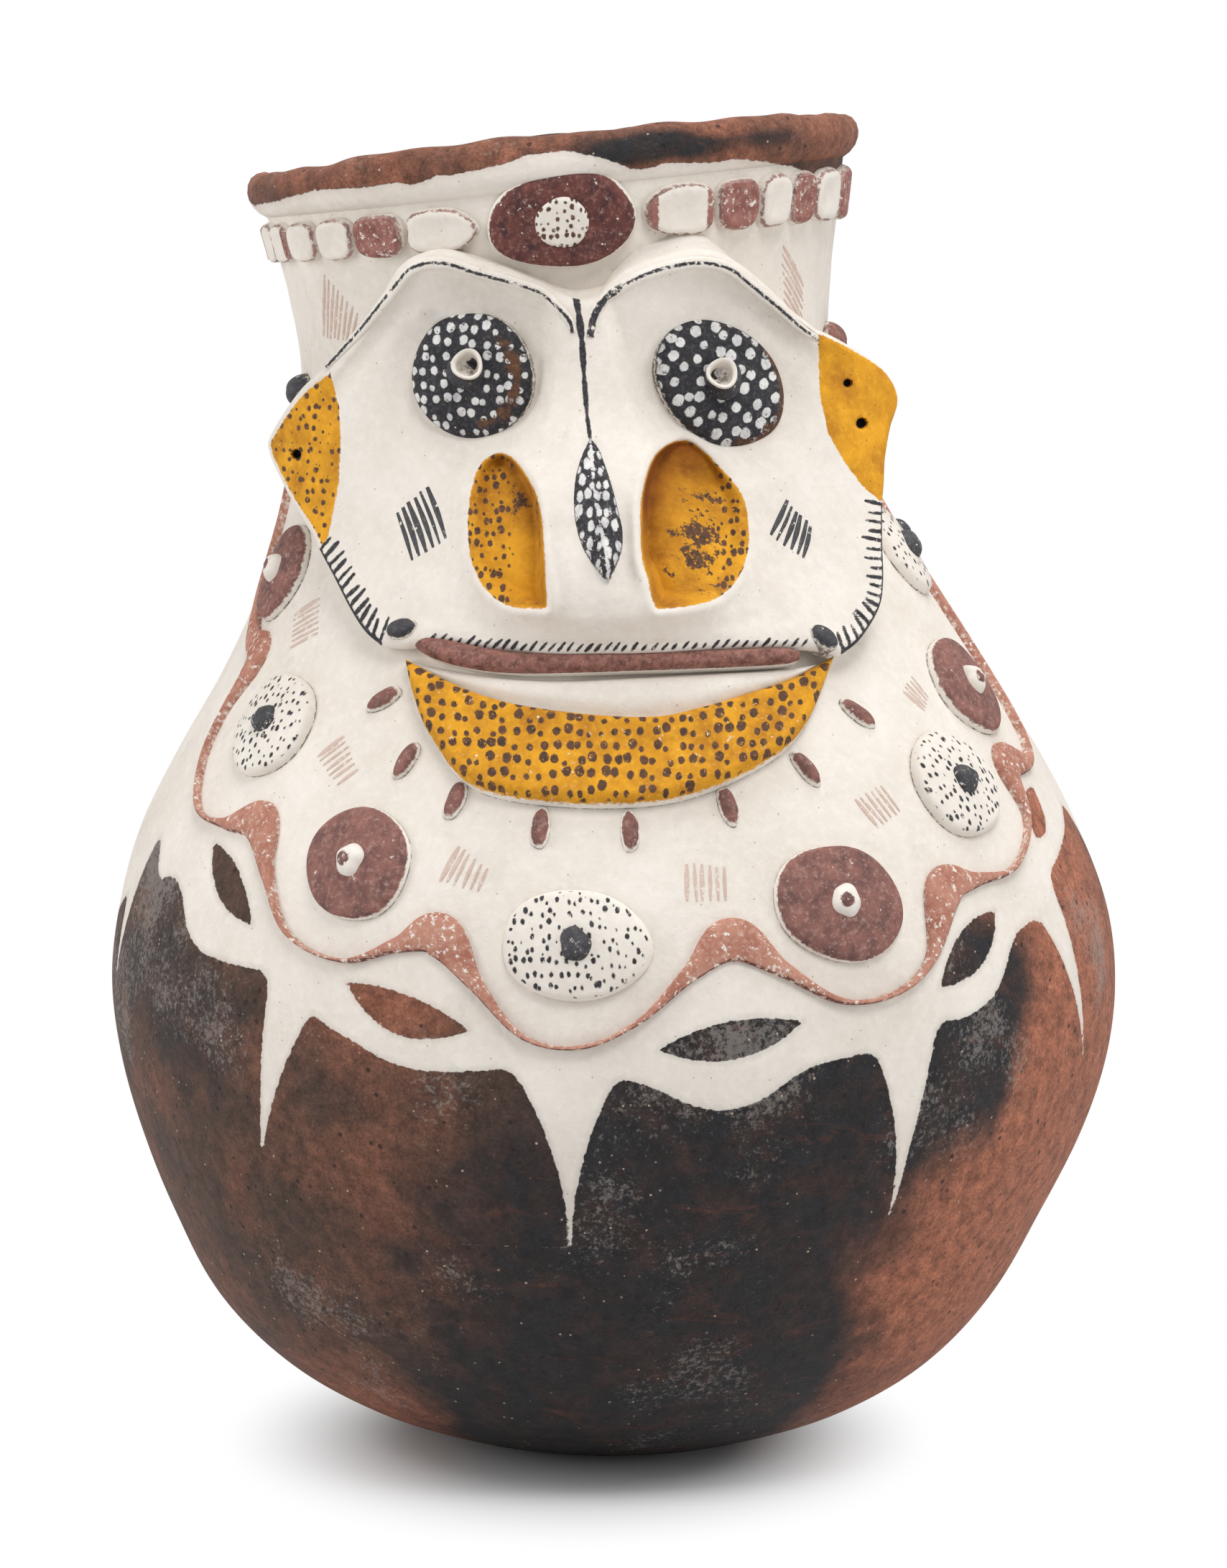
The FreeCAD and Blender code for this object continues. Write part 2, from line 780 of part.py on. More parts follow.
embed = wall_thickness * embed_share
pellets = []
for angle, height_share, turn in pellet_rows_shares:
    pellet = dome(pellet_half_width, pellet_half_length, pellet_proud, embed)
    place = wall_frame(angle, seat_height * height_share)
    pellets.append(seated(placed(pellet, place, turn), [body, crescent, face_plate]))
pieces["chin_pellets"] = Part.makeCompound(pellets)

# Band and medallion under the lip
back_pads = [(back_pad_first + back_pad_pitch * index, back_pad_pitch) for index in range(back_pad_count)]
for side, rows in (("left", left_pads), ("right", right_pads), ("back", back_pads)):
    pieces["band_pads_" + side] = Part.makeCompound([seated(pad(*row), [body]) for row in rows])

medallion_place = wall_frame(medallion_angle, seat_height * medallion_height_share)
medallion = dome(medallion_half_width, medallion_half_height, medallion_proud, embed)
medallion = seated(placed(medallion, medallion_place), [body, pieces["rim_lip"]])
pieces["forehead_medallion"] = medallion
centre = dome(
    medallion_centre_half_width, medallion_centre_half_height, medallion_centre_proud, medallion_proud
)
rise = FreeCAD.Placement(Vector(0, 0, medallion_proud), FreeCAD.Rotation())
centre = placed(centre, medallion_place.multiply(rise))
pieces["medallion_centre"] = seated(centre, [medallion, body])

# Festoon of bosses, knobs and ribbon, front and back
front_bosses = []
front_knobs = []
for number, (angle, height_share, width_share, tall_share) in enumerate(boss_rows_shares, 1):
    place = wall_frame(angle, seat_height * height_share)
    boss = dome(boss_half_width * width_share, boss_half_height * tall_share, boss_proud, embed)
    boss = seated(placed(boss, place), [body, face_plate, crescent])
    pieces["front_boss_" + str(number)] = boss
    pieces["back_boss_" + str(number)] = mirrored(boss)
    front_bosses.append(boss)
    knob = dome(boss_knob_radius, boss_knob_radius, boss_proud + boss_knob_proud, embed)
    front_knobs.append(seated(placed(knob, place), [body, boss, face_plate]))
pieces["front_boss_knobs"] = Part.makeCompound(front_knobs)
pieces["back_boss_knobs"] = Part.makeCompound([mirrored(knob) for knob in front_knobs])

swags = [seated(swag, [body, face_plate] + front_bosses) for swag in ribbon_swags()]
for side, strips in (("left", swags[:left_swags]), ("right", swags[left_swags:])):
    pieces["front_ribbon_" + side] = Part.makeCompound(strips)
    pieces["back_ribbon_" + side] = Part.makeCompound([mirrored(strip) for strip in strips])

for side, (angle, height_share) in (
    ("left", left_neck_knob_shares),
    ("right", right_neck_knob_shares),
):
    knob = dome(neck_knob_radius, neck_knob_radius, neck_knob_proud, embed)
    place = wall_frame(angle, seat_height * height_share)
    pieces["neck_knob_" + side] = seated(placed(knob, place), [body])

os.makedirs("parts", exist_ok=True)
for name, shape in pieces.items():
    shape.exportStep("parts/" + name + ".step")
    box = shape.BoundBox
    print(name, shape.isValid(), len(shape.Solids), round(shape.Volume), round(box.ZMin), round(box.ZMax))
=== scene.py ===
import math
import random

import bpy
import numpy as np
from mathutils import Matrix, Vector


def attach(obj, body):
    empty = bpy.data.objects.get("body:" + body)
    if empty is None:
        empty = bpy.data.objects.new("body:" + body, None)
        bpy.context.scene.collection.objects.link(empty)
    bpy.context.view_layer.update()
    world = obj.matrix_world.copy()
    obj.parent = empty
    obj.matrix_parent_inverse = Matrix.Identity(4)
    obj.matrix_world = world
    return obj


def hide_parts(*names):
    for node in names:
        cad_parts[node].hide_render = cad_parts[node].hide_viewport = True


# Hand-built earthenware jar with a raised face, painted in slips. Shapes are worked out in millimetres
# and only become metres in the meshes
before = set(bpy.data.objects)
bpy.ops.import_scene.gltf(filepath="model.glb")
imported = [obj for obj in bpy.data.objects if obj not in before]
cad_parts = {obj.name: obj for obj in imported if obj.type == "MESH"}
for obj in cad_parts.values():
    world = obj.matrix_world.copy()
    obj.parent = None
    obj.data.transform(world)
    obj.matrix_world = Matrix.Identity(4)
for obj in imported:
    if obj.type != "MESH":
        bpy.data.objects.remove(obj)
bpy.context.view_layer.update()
random.seed(7)
print("frame loaded")


def selectOnly(piece):
    bpy.ops.object.select_all(action="DESELECT")
    piece.select_set(True)
    bpy.context.view_layer.objects.active = piece


def getPoints(piece):
    points = np.empty(len(piece.data.vertices) * 3)
    piece.data.vertices.foreach_get("co", points)
    return points.reshape(-1, 3)


def setPoints(piece, points):
    piece.data.vertices.foreach_set("co", np.asarray(points, float).ravel())
    piece.data.update()


def keepOnVertices(piece, **layers):
    # What the materials read: one value for each vertex, or one for all
    for name, values in layers.items():
        if np.ndim(values) == 0:
            values = np.full(len(piece.data.vertices), float(values))
        kind = "FLOAT_VECTOR" if np.ndim(values) == 2 else "FLOAT"
        layer = piece.data.attributes.get(name) or piece.data.attributes.new(name, kind, "POINT")
        layer.data.foreach_set("vector" if kind == "FLOAT_VECTOR" else "value", np.ravel(values))


def valuesOf(piece, name):
    values = np.empty(len(piece.data.vertices))
    piece.data.attributes[name].data.foreach_get("value", values)
    return values


def smoothStep(low, high, value):
    part = np.clip((value - low) / (high - low), 0, 1)
    return part * part * (3 - 2 * part)


# The jar's wall as a surface: angle round it, height along it, lift out of it
jar = {
    "seatHeight": 648.0,
    "bellyRadius": 261.5,
    "wall": 10.0,
    "floor": 15.0,
    "floorFade": 243.0,
    "slump": 30.0,
    "rimTilt": 6.0,
    "lumpDepth": 1.3,
    # height, radius, lean and tilt, as shares
    "rows": (
        (0.000, 0.237, 0.07, 0.00), (0.011, 0.352, 0.07, 0.00), (0.034, 0.509, 0.07, 0.00),
        (0.071, 0.658, 0.10, 0.00), (0.123, 0.780, 0.13, 0.00), (0.188, 0.868, 0.10, 0.00),
        (0.255, 0.941, 0.03, 0.00), (0.316, 0.985, 0.00, 0.00), (0.375, 1.000, 0.00, 0.00),
        (0.432, 0.983, 0.00, 0.00), (0.494, 0.933, 0.07, 0.00), (0.556, 0.855, 0.10, 0.00),
        (0.617, 0.761, 0.17, 0.00), (0.679, 0.673, 0.30, 0.00), (0.741, 0.593, 0.47, 0.00),
        (0.802, 0.541, 0.67, 0.00), (0.864, 0.522, 0.80, 0.10), (0.926, 0.537, 0.90, 0.50),
        (0.963, 0.554, 0.95, 0.75), (1.000, 0.572, 1.00, 1.00),
    ),
}


def profileAt(height):
    # Radius, lean and tilt by a smooth curve through the rows
    rows = np.array(jar["rows"])
    last = len(rows) - 1
    share = np.clip(np.asarray(height, float) / jar["seatHeight"], 0, 1)
    start = np.clip(np.searchsorted(rows[:, 0], share, side="left") - 1, 0, last - 1)
    before, after = np.maximum(start - 1, 0), np.minimum(start + 2, last)
    width = rows[start + 1, 0] - rows[start, 0]
    part = (share - rows[start, 0]) / width
    found = []
    for column in (1, 2, 3):
        value = rows[:, column]
        leave = (value[start + 1] - value[before]) / (rows[start + 1, 0] - rows[before, 0]) * width
        arrive = (value[after] - value[start]) / (rows[after, 0] - rows[start, 0]) * width
        cubic = 2 * value[start] + leave - 2 * value[start + 1] + arrive
        square = 3 * value[start + 1] - 3 * value[start] - 2 * leave - arrive
        found.append(((cubic * part + square) * part + leave) * part + value[start])
    radius, lean, tilt = found
    return jar["bellyRadius"] * radius, -jar["slump"] * lean, np.radians(jar["rimTilt"] * tilt)


lumpWaves = []
for wave in range(22):
    turns = random.randint(1, 13)
    lumpWaves.append((turns, random.uniform(-34, 34) / 1000, random.uniform(0, 6.283), 1 / (1 + turns / 4)))


def lumps(angle, height):
    # How far the hand-beaten wall lies inside the true form
    turn = np.radians(angle)
    total = 0.0
    for turns, climb, phase, size in lumpWaves:
        total = total + size * np.sin(turns * turn + climb * height + phase)
    depth = jar["lumpDepth"] * (1 + np.clip(total / 3.2, -1, 1))
    return depth * smoothStep(4, 70, height)


def wallSkin(angle, height, inward):
    radius, lean, tilt = profileAt(height)
    turn = np.radians(angle)
    out = (radius - inward) * np.sin(turn)
    aside, up = lean + out * np.cos(tilt), height + out * np.sin(tilt)
    return np.stack([aside, -(radius - inward) * np.cos(turn), up], -1)


def wallAt(angle, height, lift=0.0):
    angle, height, lift = np.broadcast_arrays(*(np.asarray(v, float) for v in (angle, height, lift)))
    around = wallSkin(angle + 0.5, height, 0) - wallSkin(angle - 0.5, height, 0)
    rising = wallSkin(angle, height + 1, 0) - wallSkin(angle, height - 1, 0)
    normal = np.cross(around, rising)
    normal /= np.linalg.norm(normal, axis=-1, keepdims=True)
    return wallSkin(angle, height, lumps(angle, height)) + normal * lift[..., None]


# Ways of starting a piece
def spunPiece(name, profile, steps, closed):
    # A ring of vertices laid on the section and spun round the upright axis, as on a turntable
    bpy.ops.object.select_all(action="DESELECT")
    bpy.ops.mesh.primitive_circle_add(vertices=len(profile))
    piece = bpy.context.object
    piece.name = name
    setPoints(piece, [(out, 0, up) for out, up in profile])
    bpy.ops.object.mode_set(mode="EDIT")
    if not closed:
        bpy.ops.mesh.select_all(action="DESELECT")
        bpy.ops.object.mode_set(mode="OBJECT")
        for edge in piece.data.edges:
            edge.select = set(edge.vertices) == {0, len(profile) - 1}
        bpy.ops.object.mode_set(mode="EDIT")
        bpy.ops.mesh.select_mode(type="EDGE")
        bpy.ops.mesh.delete(type="EDGE")
        bpy.ops.mesh.select_mode(type="VERT")
    bpy.ops.mesh.select_all(action="SELECT")
    bpy.ops.mesh.spin(steps=steps, angle=2 * math.pi, center=(0, 0, 0), axis=(0, 0, 1))
    bpy.ops.mesh.select_all(action="SELECT")
    bpy.ops.mesh.remove_doubles(threshold=0.001)
    bpy.ops.mesh.normals_make_consistent(inside=False)
    bpy.ops.object.mode_set(mode="OBJECT")
    return piece


def wrappedPiece(name, columns, rows, place):
    # A flat sheet of clay folded into a closed form: place gives each vertex from its two shares
    bpy.ops.object.select_all(action="DESELECT")
    bpy.ops.mesh.primitive_grid_add(x_subdivisions=columns, y_subdivisions=rows, size=2)
    piece = bpy.context.object
    piece.name = name
    flat = getPoints(piece)
    across, along = (flat[:, 0] + 1) / 2, (flat[:, 1] + 1) / 2
    points, layers = place(across, along)
    setPoints(piece, points)
    keepOnVertices(piece, **layers)
    bpy.ops.object.mode_set(mode="EDIT")
    bpy.ops.mesh.select_all(action="SELECT")
    bpy.ops.mesh.remove_doubles(threshold=0.02)
    bpy.ops.mesh.normals_make_consistent(inside=False)
    bpy.ops.object.mode_set(mode="OBJECT")
    return piece


def turnedPiece(name, section, steps, closed):
    # A section carried round the upright axis
    outline = np.array(section + section[:1] if closed else section)

    def lay(around, along):
        out, up = outline[np.rint(along * (len(outline) - 1)).astype(int)].T
        turn = around * 2 * math.pi
        return np.stack([out * np.sin(turn), -out * np.cos(turn), up], -1), {}

    return wrappedPiece(name, steps, len(outline) - 1, lay)


def finishPiece(piece, nodes, material, sharpAngle=50):
    # Into metres, smooth, in its material, riding on the jar
    setPoints(piece, getPoints(piece) / 1000)
    selectOnly(piece)
    bpy.ops.object.shade_smooth_by_angle(angle=math.radians(sharpAngle))
    piece.data.materials.clear()
    piece.data.materials.append(material)
    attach(piece, "root")
    if nodes:
        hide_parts(*nodes)
    return piece


# Finishes
def colourOf(code):
    parts = [int(code[start:start + 2], 16) / 255 for start in (1, 3, 5)]
    return tuple(part / 12.92 if part <= 0.04045 else ((part + 0.055) / 1.055) ** 2.4 for part in parts) + (1,)


def addNode(tree, kind, inputs, output=0, **settings):
    # One node with its settings and links, its inputs by name or in their order. Gives the output asked for
    node = tree.nodes.new("ShaderNode" + kind)
    for name, value in settings.items():
        setattr(node, name, value)
    for socket, value in inputs.items() if isinstance(inputs, dict) else enumerate(inputs):
        if isinstance(value, bpy.types.NodeSocket):
            tree.links.new(value, node.inputs[socket])
        else:
            node.inputs[socket].default_value = value
    return node.outputs[output] if len(node.outputs) else node


def startMaterial(name):
    material = bpy.data.materials.new(name)
    material.use_nodes = True
    tree = material.node_tree
    tree.nodes.clear()
    place = addNode(tree, "TexCoord", {}, "Object")
    # From metres to millimetres
    return material, tree, addNode(tree, "Mapping", {"Vector": place, "Scale": (1000, 1000, 1000)})


def endMaterial(tree, colour, roughness, height, specular):
    bump = addNode(tree, "Bump", {"Strength": 1.0, "Distance": 0.001, "Height": height})
    shader = addNode(tree, "BsdfPrincipled", {
        "Base Color": colour, "Roughness": roughness, "Normal": bump, "IOR": 1.5,
        "Specular IOR Level": specular,
    })
    addNode(tree, "OutputMaterial", {"Surface": shader})


# Low-fired earthenware: open, gritty and matt. Terracotta where the fire reached it, brown to black where
# smoke did, with burnt-out straw and grit showing
clay = {
    "terracotta": "#A0644C",
    "brown": "#4B372D",
    "soot": "#201F22",
    "smoulder": "#3A2923",
    "rust": "#6E4030",
    "scuff": "#9A928C",
    "grit": "#B9A090",
    "pit": "#15110F",
    "gritSpacing": 6.0,
    "pitSpacing": 8.0,
    # size in mm, detail, roughness and distortion
    "noises": {
        "mottle": (44.0, 7, 0.58, 0.2),
        "grain": (1.5, 3, 0.6, 0),
        "embers": (21, 7, 0.68, 0),
        "weather": (9, 9, 0.8, 0),
        "streak": (24, 8, 0.74, 0.9),
        "scuff": (3.0, 6, 0.8, 0.3),
        "scuffZone": (75, 2, 0.5, 0),
    },
    "roughness": 0.7,
    "specular": 0.3,
}


def firedClay(tree, place):
    warmth, smoke, ashAndSheen = (
        addNode(tree, "Attribute", {}, "Fac", attribute_name=name) for name in ("warmth", "smoke", "ashAndSheen")
    )
    streaked = addNode(tree, "Mapping", {"Vector": place, "Scale": (0.6, 0.6, 1.9)})
    noise = {}
    for name, (size, detail, rough, distortion) in clay["noises"].items():
        noise[name] = addNode(tree, "TexNoise", {
            "Vector": streaked if name == "streak" else place, "Scale": 1 / size, "Detail": detail,
            "Roughness": rough, "Distortion": distortion,
        })
    grit, pits = (
        addNode(tree, "TexVoronoi", {"Vector": place, "Scale": 1 / spacing, "Randomness": 1.0}, "Distance")
        for spacing in (clay["gritSpacing"], clay["pitSpacing"])
    )
    drift = addNode(tree, "Math", (noise["mottle"], 1.15, -0.575), operation="MULTIPLY_ADD")
    warmShare = addNode(tree, "Math", (warmth, drift), operation="ADD", use_clamp=True)
    smoked = addNode(tree, "Math", (smoke, drift), operation="SUBTRACT")
    # Scuffs, ash flecks and a painted sheen at the left edge grey the clay
    scuffAndSheen = addNode(tree, "Math", (noise["scuff"], noise["scuffZone"]), operation="ADD")
    scuffAndSheen = addNode(tree, "Math", (ashAndSheen, 0.16, scuffAndSheen), operation="MULTIPLY_ADD")
    share = {}
    for name, value, low, high, least, most, kind in (
        ("smoke", smoked, 0.08, 0.9, 0, 1, "SMOOTHSTEP"),
        ("embers", noise["embers"], 0.44, 0.68, 0, 0.85, "LINEAR"),
        ("weather", noise["weather"], 0.38, 0.64, 0.52, 1.5, "LINEAR"),
        ("streak", noise["streak"], 0.56, 0.74, 0, 0.55, "LINEAR"),
        ("grain", noise["grain"], 0.3, 0.7, 0.7, 1.3, "LINEAR"),
        ("grit", grit, 0.13, 0.08, 0, 1, "SMOOTHSTEP"),
        ("gritPick", grit.node.outputs["Color"], 0.6, 0.76, 0, 1, "LINEAR"),
        ("scuff", scuffAndSheen, 1.15, 1.25, 0, 0.5, "LINEAR"),
        ("pit", pits, 0.2, 0.1, 0, 1, "SMOOTHSTEP"),
        ("pitPick", pits.node.outputs["Color"], 0.48, 0.54, 0, 1, "LINEAR"),
    ):
        share[name] = addNode(tree, "MapRange", (value, low, high, least, most), interpolation_type=kind)
    gritMark = addNode(tree, "Math", (share["grit"], share["gritPick"]), operation="MULTIPLY")
    pitMark = addNode(tree, "Math", (share["pit"], share["pitPick"]), operation="MULTIPLY")
    pitDepth = addNode(tree, "Math", (pitMark, 0.75), operation="MULTIPLY")
    # Soot lies unevenly: browner where it burned off again
    sooty = addNode(
        tree, "Mix", {0: share["embers"], 6: colourOf(clay["soot"]), 7: colourOf(clay["smoulder"])}, 2,
        data_type="RGBA",
    )
    body = colourOf(clay["brown"])
    for factor, over, mode in (
        (warmShare, colourOf(clay["terracotta"]), "MIX"),
        (share["smoke"], sooty, "MIX"),
        (1.0, share["weather"], "MULTIPLY"),
        (share["streak"], colourOf(clay["rust"]), "MIX"),
        (1.0, share["grain"], "MULTIPLY"),
        (gritMark, colourOf(clay["grit"]), "MIX"),
        (share["scuff"], colourOf(clay["scuff"]), "MIX"),
        (pitDepth, colourOf(clay["pit"]), "MIX"),
    ):
        body = addNode(tree, "Mix", {0: factor, 6: body, 7: over}, 2, data_type="RGBA", blend_type=mode)
    height = 0.0
    for part, depth in (
        (noise["grain"], 0.9), (noise["weather"], 1.3), (pitMark, -0.7), (noise["mottle"], 1.6),
    ):
        height = addNode(tree, "Math", (part, depth, height), operation="MULTIPLY_ADD")
    return body, height


# White clay slip: chalky and warm, rubbed grey in places, brushed on thick enough to round the form
slip = {
    "shade": "#D5CCC1",
    "white": "#E4DDD4",
    "bright": "#ECE7E0",
    "scuff": "#B2B4B9",
    "pinhole": "#8C8178",
    "pinholeSpacing": 8.0,
    # size in mm, detail, roughness and distortion
    "noises": {"patch": (60.0, 5, 0.6, 0), "brush": (5.0, 5, 0.65, 0), "rub": (16.0, 9, 0.75, 0.8)},
    "roughness": 0.82,
}


def whiteSlip(tree, place):
    noise = {}
    for name, (size, detail, rough, distortion) in slip["noises"].items():
        noise[name] = addNode(tree, "TexNoise", {
            "Vector": place, "Scale": 1 / size, "Detail": detail, "Roughness": rough, "Distortion": distortion,
        })
    holes = addNode(
        tree, "TexVoronoi", {"Vector": place, "Scale": 1 / slip["pinholeSpacing"], "Randomness": 1.0},
        "Distance",
    )
    coat = colourOf(slip["shade"])
    # Brushed patches, lighter brush marks, grey rubbing, and pinholes where grit fell out
    for value, low, high, most, colour in (
        (noise["patch"], 0.3, 0.7, 1, "white"),
        (noise["brush"], 0.45, 0.75, 0.45, "bright"),
        (noise["rub"], 0.57, 0.82, 0.55, "scuff"),
        (holes, 0.075, 0.04, 0.6, "pinhole"),
    ):
        share = addNode(tree, "MapRange", (value, low, high, 0, most))
        coat = addNode(tree, "Mix", {0: share, 6: coat, 7: colourOf(slip[colour])}, 2, data_type="RGBA")
    height = addNode(tree, "Math", (noise["brush"], 0.4), operation="MULTIPLY")
    return coat, addNode(tree, "Math", (noise["patch"], 2.0, height), operation="MULTIPLY_ADD")


def edgeWobble(tree, place, amount, size):
    # Brush edges wander a little: a distance in millimetres to add before the edge is cut
    wander = addNode(tree, "TexNoise", {"Vector": place, "Scale": 1 / size, "Detail": 4, "Roughness": 0.6})
    return addNode(tree, "MapRange", (wander, 0.25, 0.75, -amount, amount))


def slippedWallMaterial():
    material, tree, place = startMaterial("slippedEarthenware")
    bare, bareHeight = firedClay(tree, place)
    coat, coatHeight = whiteSlip(tree, place)
    depth = addNode(tree, "Attribute", {}, "Fac", attribute_name="slip")
    depth = addNode(tree, "Math", (depth, edgeWobble(tree, place, 0.7, 3.0)), operation="ADD")
    cover = addNode(tree, "MapRange", (depth, -0.2, 0.35, 0, 1), interpolation_type="SMOOTHSTEP")
    # Thin at its edges, where the clay greys it
    full = addNode(tree, "MapRange", (depth, 0, 3.5, 0.62, 1))
    thin = addNode(tree, "Mix", {0: 0.5, 6: coat, 7: bare}, 2, data_type="RGBA")
    coat = addNode(tree, "Mix", {0: full, 6: thin, 7: coat}, 2, data_type="RGBA")
    colour = addNode(tree, "Mix", {0: cover, 6: bare, 7: coat}, 2, data_type="RGBA")
    height = addNode(tree, "Mix", {0: cover, 2: bareHeight, 3: coatHeight})
    height = addNode(tree, "Math", (cover, 0.25, height), operation="MULTIPLY_ADD")
    # The bare clay is a little glossier than the chalky slip
    gloss = addNode(tree, "MapRange", (cover, 0, 1, clay["specular"], 0.25))
    rough = addNode(tree, "MapRange", (cover, 0, 1, clay["roughness"], slip["roughness"]))
    endMaterial(tree, colour, rough, height, gloss)
    return material


wallMaterial = slippedWallMaterial()
print("clay and slip finishes made")

# Where the white slip ends: arches, drips and the reserves left bare
hem = {
    # angle and height along the lower edge, without its drips
    "arches": (
        (-180, 230), (-172, 226), (-164, 236), (-155, 240), (-147, 246), (-140, 262), (-133, 268),
        (-124, 274), (-119, 292), (-112, 300), (-104, 284), (-90, 268), (-77, 292), (-73, 330),
        (-70, 330), (-66, 303), (-62.1, 308), (-58.7, 303), (-56.0, 284), (-52.5, 275), (-47, 272),
        (-40.5, 271), (-36.0, 262), (-31.8, 247), (-29.0, 243), (-26.0, 236), (-22.7, 231), (-19.4, 230),
        (-15.5, 231), (-11.5, 233), (-5.0, 236), (0.0, 231), (2.5, 227), (4.9, 224), (7.2, 217),
        (11.1, 212), (15.0, 215), (18.0, 223), (20.5, 231), (23.2, 234), (26.5, 236), (31.5, 240),
        (36.5, 249), (40.8, 248), (44.1, 253), (47.0, 262), (48.6, 274), (50.3, 284), (53.0, 288),
        (57, 291), (61.0, 307), (69.0, 318), (73.8, 324), (80, 336), (90, 300), (104, 262), (112, 286),
        (118, 300), (125, 284), (131, 262), (140, 250), (148, 240), (156, 236), (163, 222), (169, 216),
        (175, 224), (180, 230),
    ),
    # tip angle, tip height, foot angle, foot height, half width at the foot, how sharply it narrows
    "drips": (
        (-77.8, 250, -74.5, 312, 13, 1.3),
        (-43.2, 182, -37.9, 248, 12, 1.35),
        (-4.6, 143, -4.9, 226, 21, 2.1),
        (34.6, 149, 32.5, 240, 17, 1.9),
        (66.2, 213, 58.2, 300, 15, 1.7),
        (97, 196, 94, 280, 15, 1.7),
        (126, 158, 128, 270, 18, 1.9),
        (157, 160, 155, 232, 16, 1.8),
        (-171, 140, -169, 228, 19, 2.0),
        (-138, 188, -141, 256, 15, 1.7),
        (-108, 172, -106, 286, 17, 1.9),
    ),
    # reserves: first tip, second tip, half width, bow towards one side
    "reserves": (
        ((-29.9, 270), (-15.3, 251), 9.5, 1.0),
        ((4.7, 243), (20.3, 254), 9.0, 0.5),
        ((-54.5, 327), (-44.0, 292), 8.5, 0.0),
        ((37.6, 265), (48.2, 297), 9.5, 0.0),
        ((62.5, 326), (69.0, 348), 9.0, 0.0),
        ((84, 300), (99, 285), 9.0, 0.0),
        ((107, 318), (117, 322), 9.0, 0.0),
        ((133, 286), (145, 262), 8.5, 0.0),
        ((161, 250), (175, 242), 8.5, 0.4),
        ((-165, 252), (-151, 262), 8.5, -0.4),
        ((-132, 300), (-121, 316), 9.0, 0.3),
        ((-98, 300), (-86, 292), 9.0, 0.0),
    ),
    "softJoin": 9.0,
    "rim": (
        (-180, 656), (-120, 652), (-77.5, 639), (-62, 642), (-48.0, 647.5), (-40, 648.5), (-34.7, 649),
        (-29, 651.5), (-25.3, 650.5), (-20, 655), (-16.6, 655.5), (-8.5, 660), (-3.2, 665), (3.1, 667),
        (9.5, 663.5), (14.8, 658), (18, 658), (21.4, 661), (31.5, 661), (36, 663), (41.4, 662),
        (53.7, 659), (60, 656), (68.7, 650), (90, 658), (135, 664), (180, 656),
    ),
}


def throughRows(rows, angle):
    rows = np.array(rows, float)
    return np.interp((np.asarray(angle) + 180) % 360 - 180, rows[:, 0], rows[:, 1])


def slipDepth(angle, height):
    # Signed distance into the white slip, in millimetres over the wall
    reach = profileAt(height)[0] * math.pi / 180
    edge = sum(throughRows(hem["arches"], angle + shift) for shift in (-1.2, 0, 1.2)) / 3
    slope = (throughRows(hem["arches"], angle + 0.8) - throughRows(hem["arches"], angle - 0.8)) / (1.6 * reach)
    depth = (height - edge) / np.sqrt(1 + slope * slope)
    join = hem["softJoin"]
    for tip, tipHeight, foot, footHeight, halfWidth, power in hem["drips"]:
        share = (height - tipHeight) / (footHeight - tipHeight)
        middle = tip + (foot - tip) * np.clip(share, 0, 1.2)
        aside = (np.abs((angle - middle + 180) % 360 - 180)) * reach
        width = 1.1 + halfWidth * np.clip(share, 0, 1.2) ** power
        drip = np.where(share < 0, share * (footHeight - tipHeight), width - aside)
        drip = np.where(share > 1, np.minimum(drip, 30), drip)
        mixing = np.clip(0.5 + 0.5 * (depth - drip) / join, 0, 1)
        joined = drip + (depth - drip) * mixing + join * mixing * (1 - mixing)
        depth = np.where(aside < 60, joined, depth)
    for first, second, halfWidth, bow in hem["reserves"]:
        alongX = (second[0] - first[0]) * reach
        alongZ = second[1] - first[1]
        length = np.hypot(alongX, alongZ)
        fromX = ((angle - first[0] + 180) % 360 - 180) * reach
        fromZ = height - first[1]
        along = (fromX * alongX + fromZ * alongZ) / length
        aside = (fromZ * alongX - fromX * alongZ) / length
        share = np.clip(along / length, 0, 1)
        belly = 4 * share * (1 - share)
        inside = halfWidth * belly - np.abs(aside + bow * belly * 4)
        beyond = np.hypot(aside, np.minimum(along, length - along))
        inside = np.where((along < 0) | (along > length), -beyond, inside)
        depth = np.minimum(depth, -inside)
    return depth


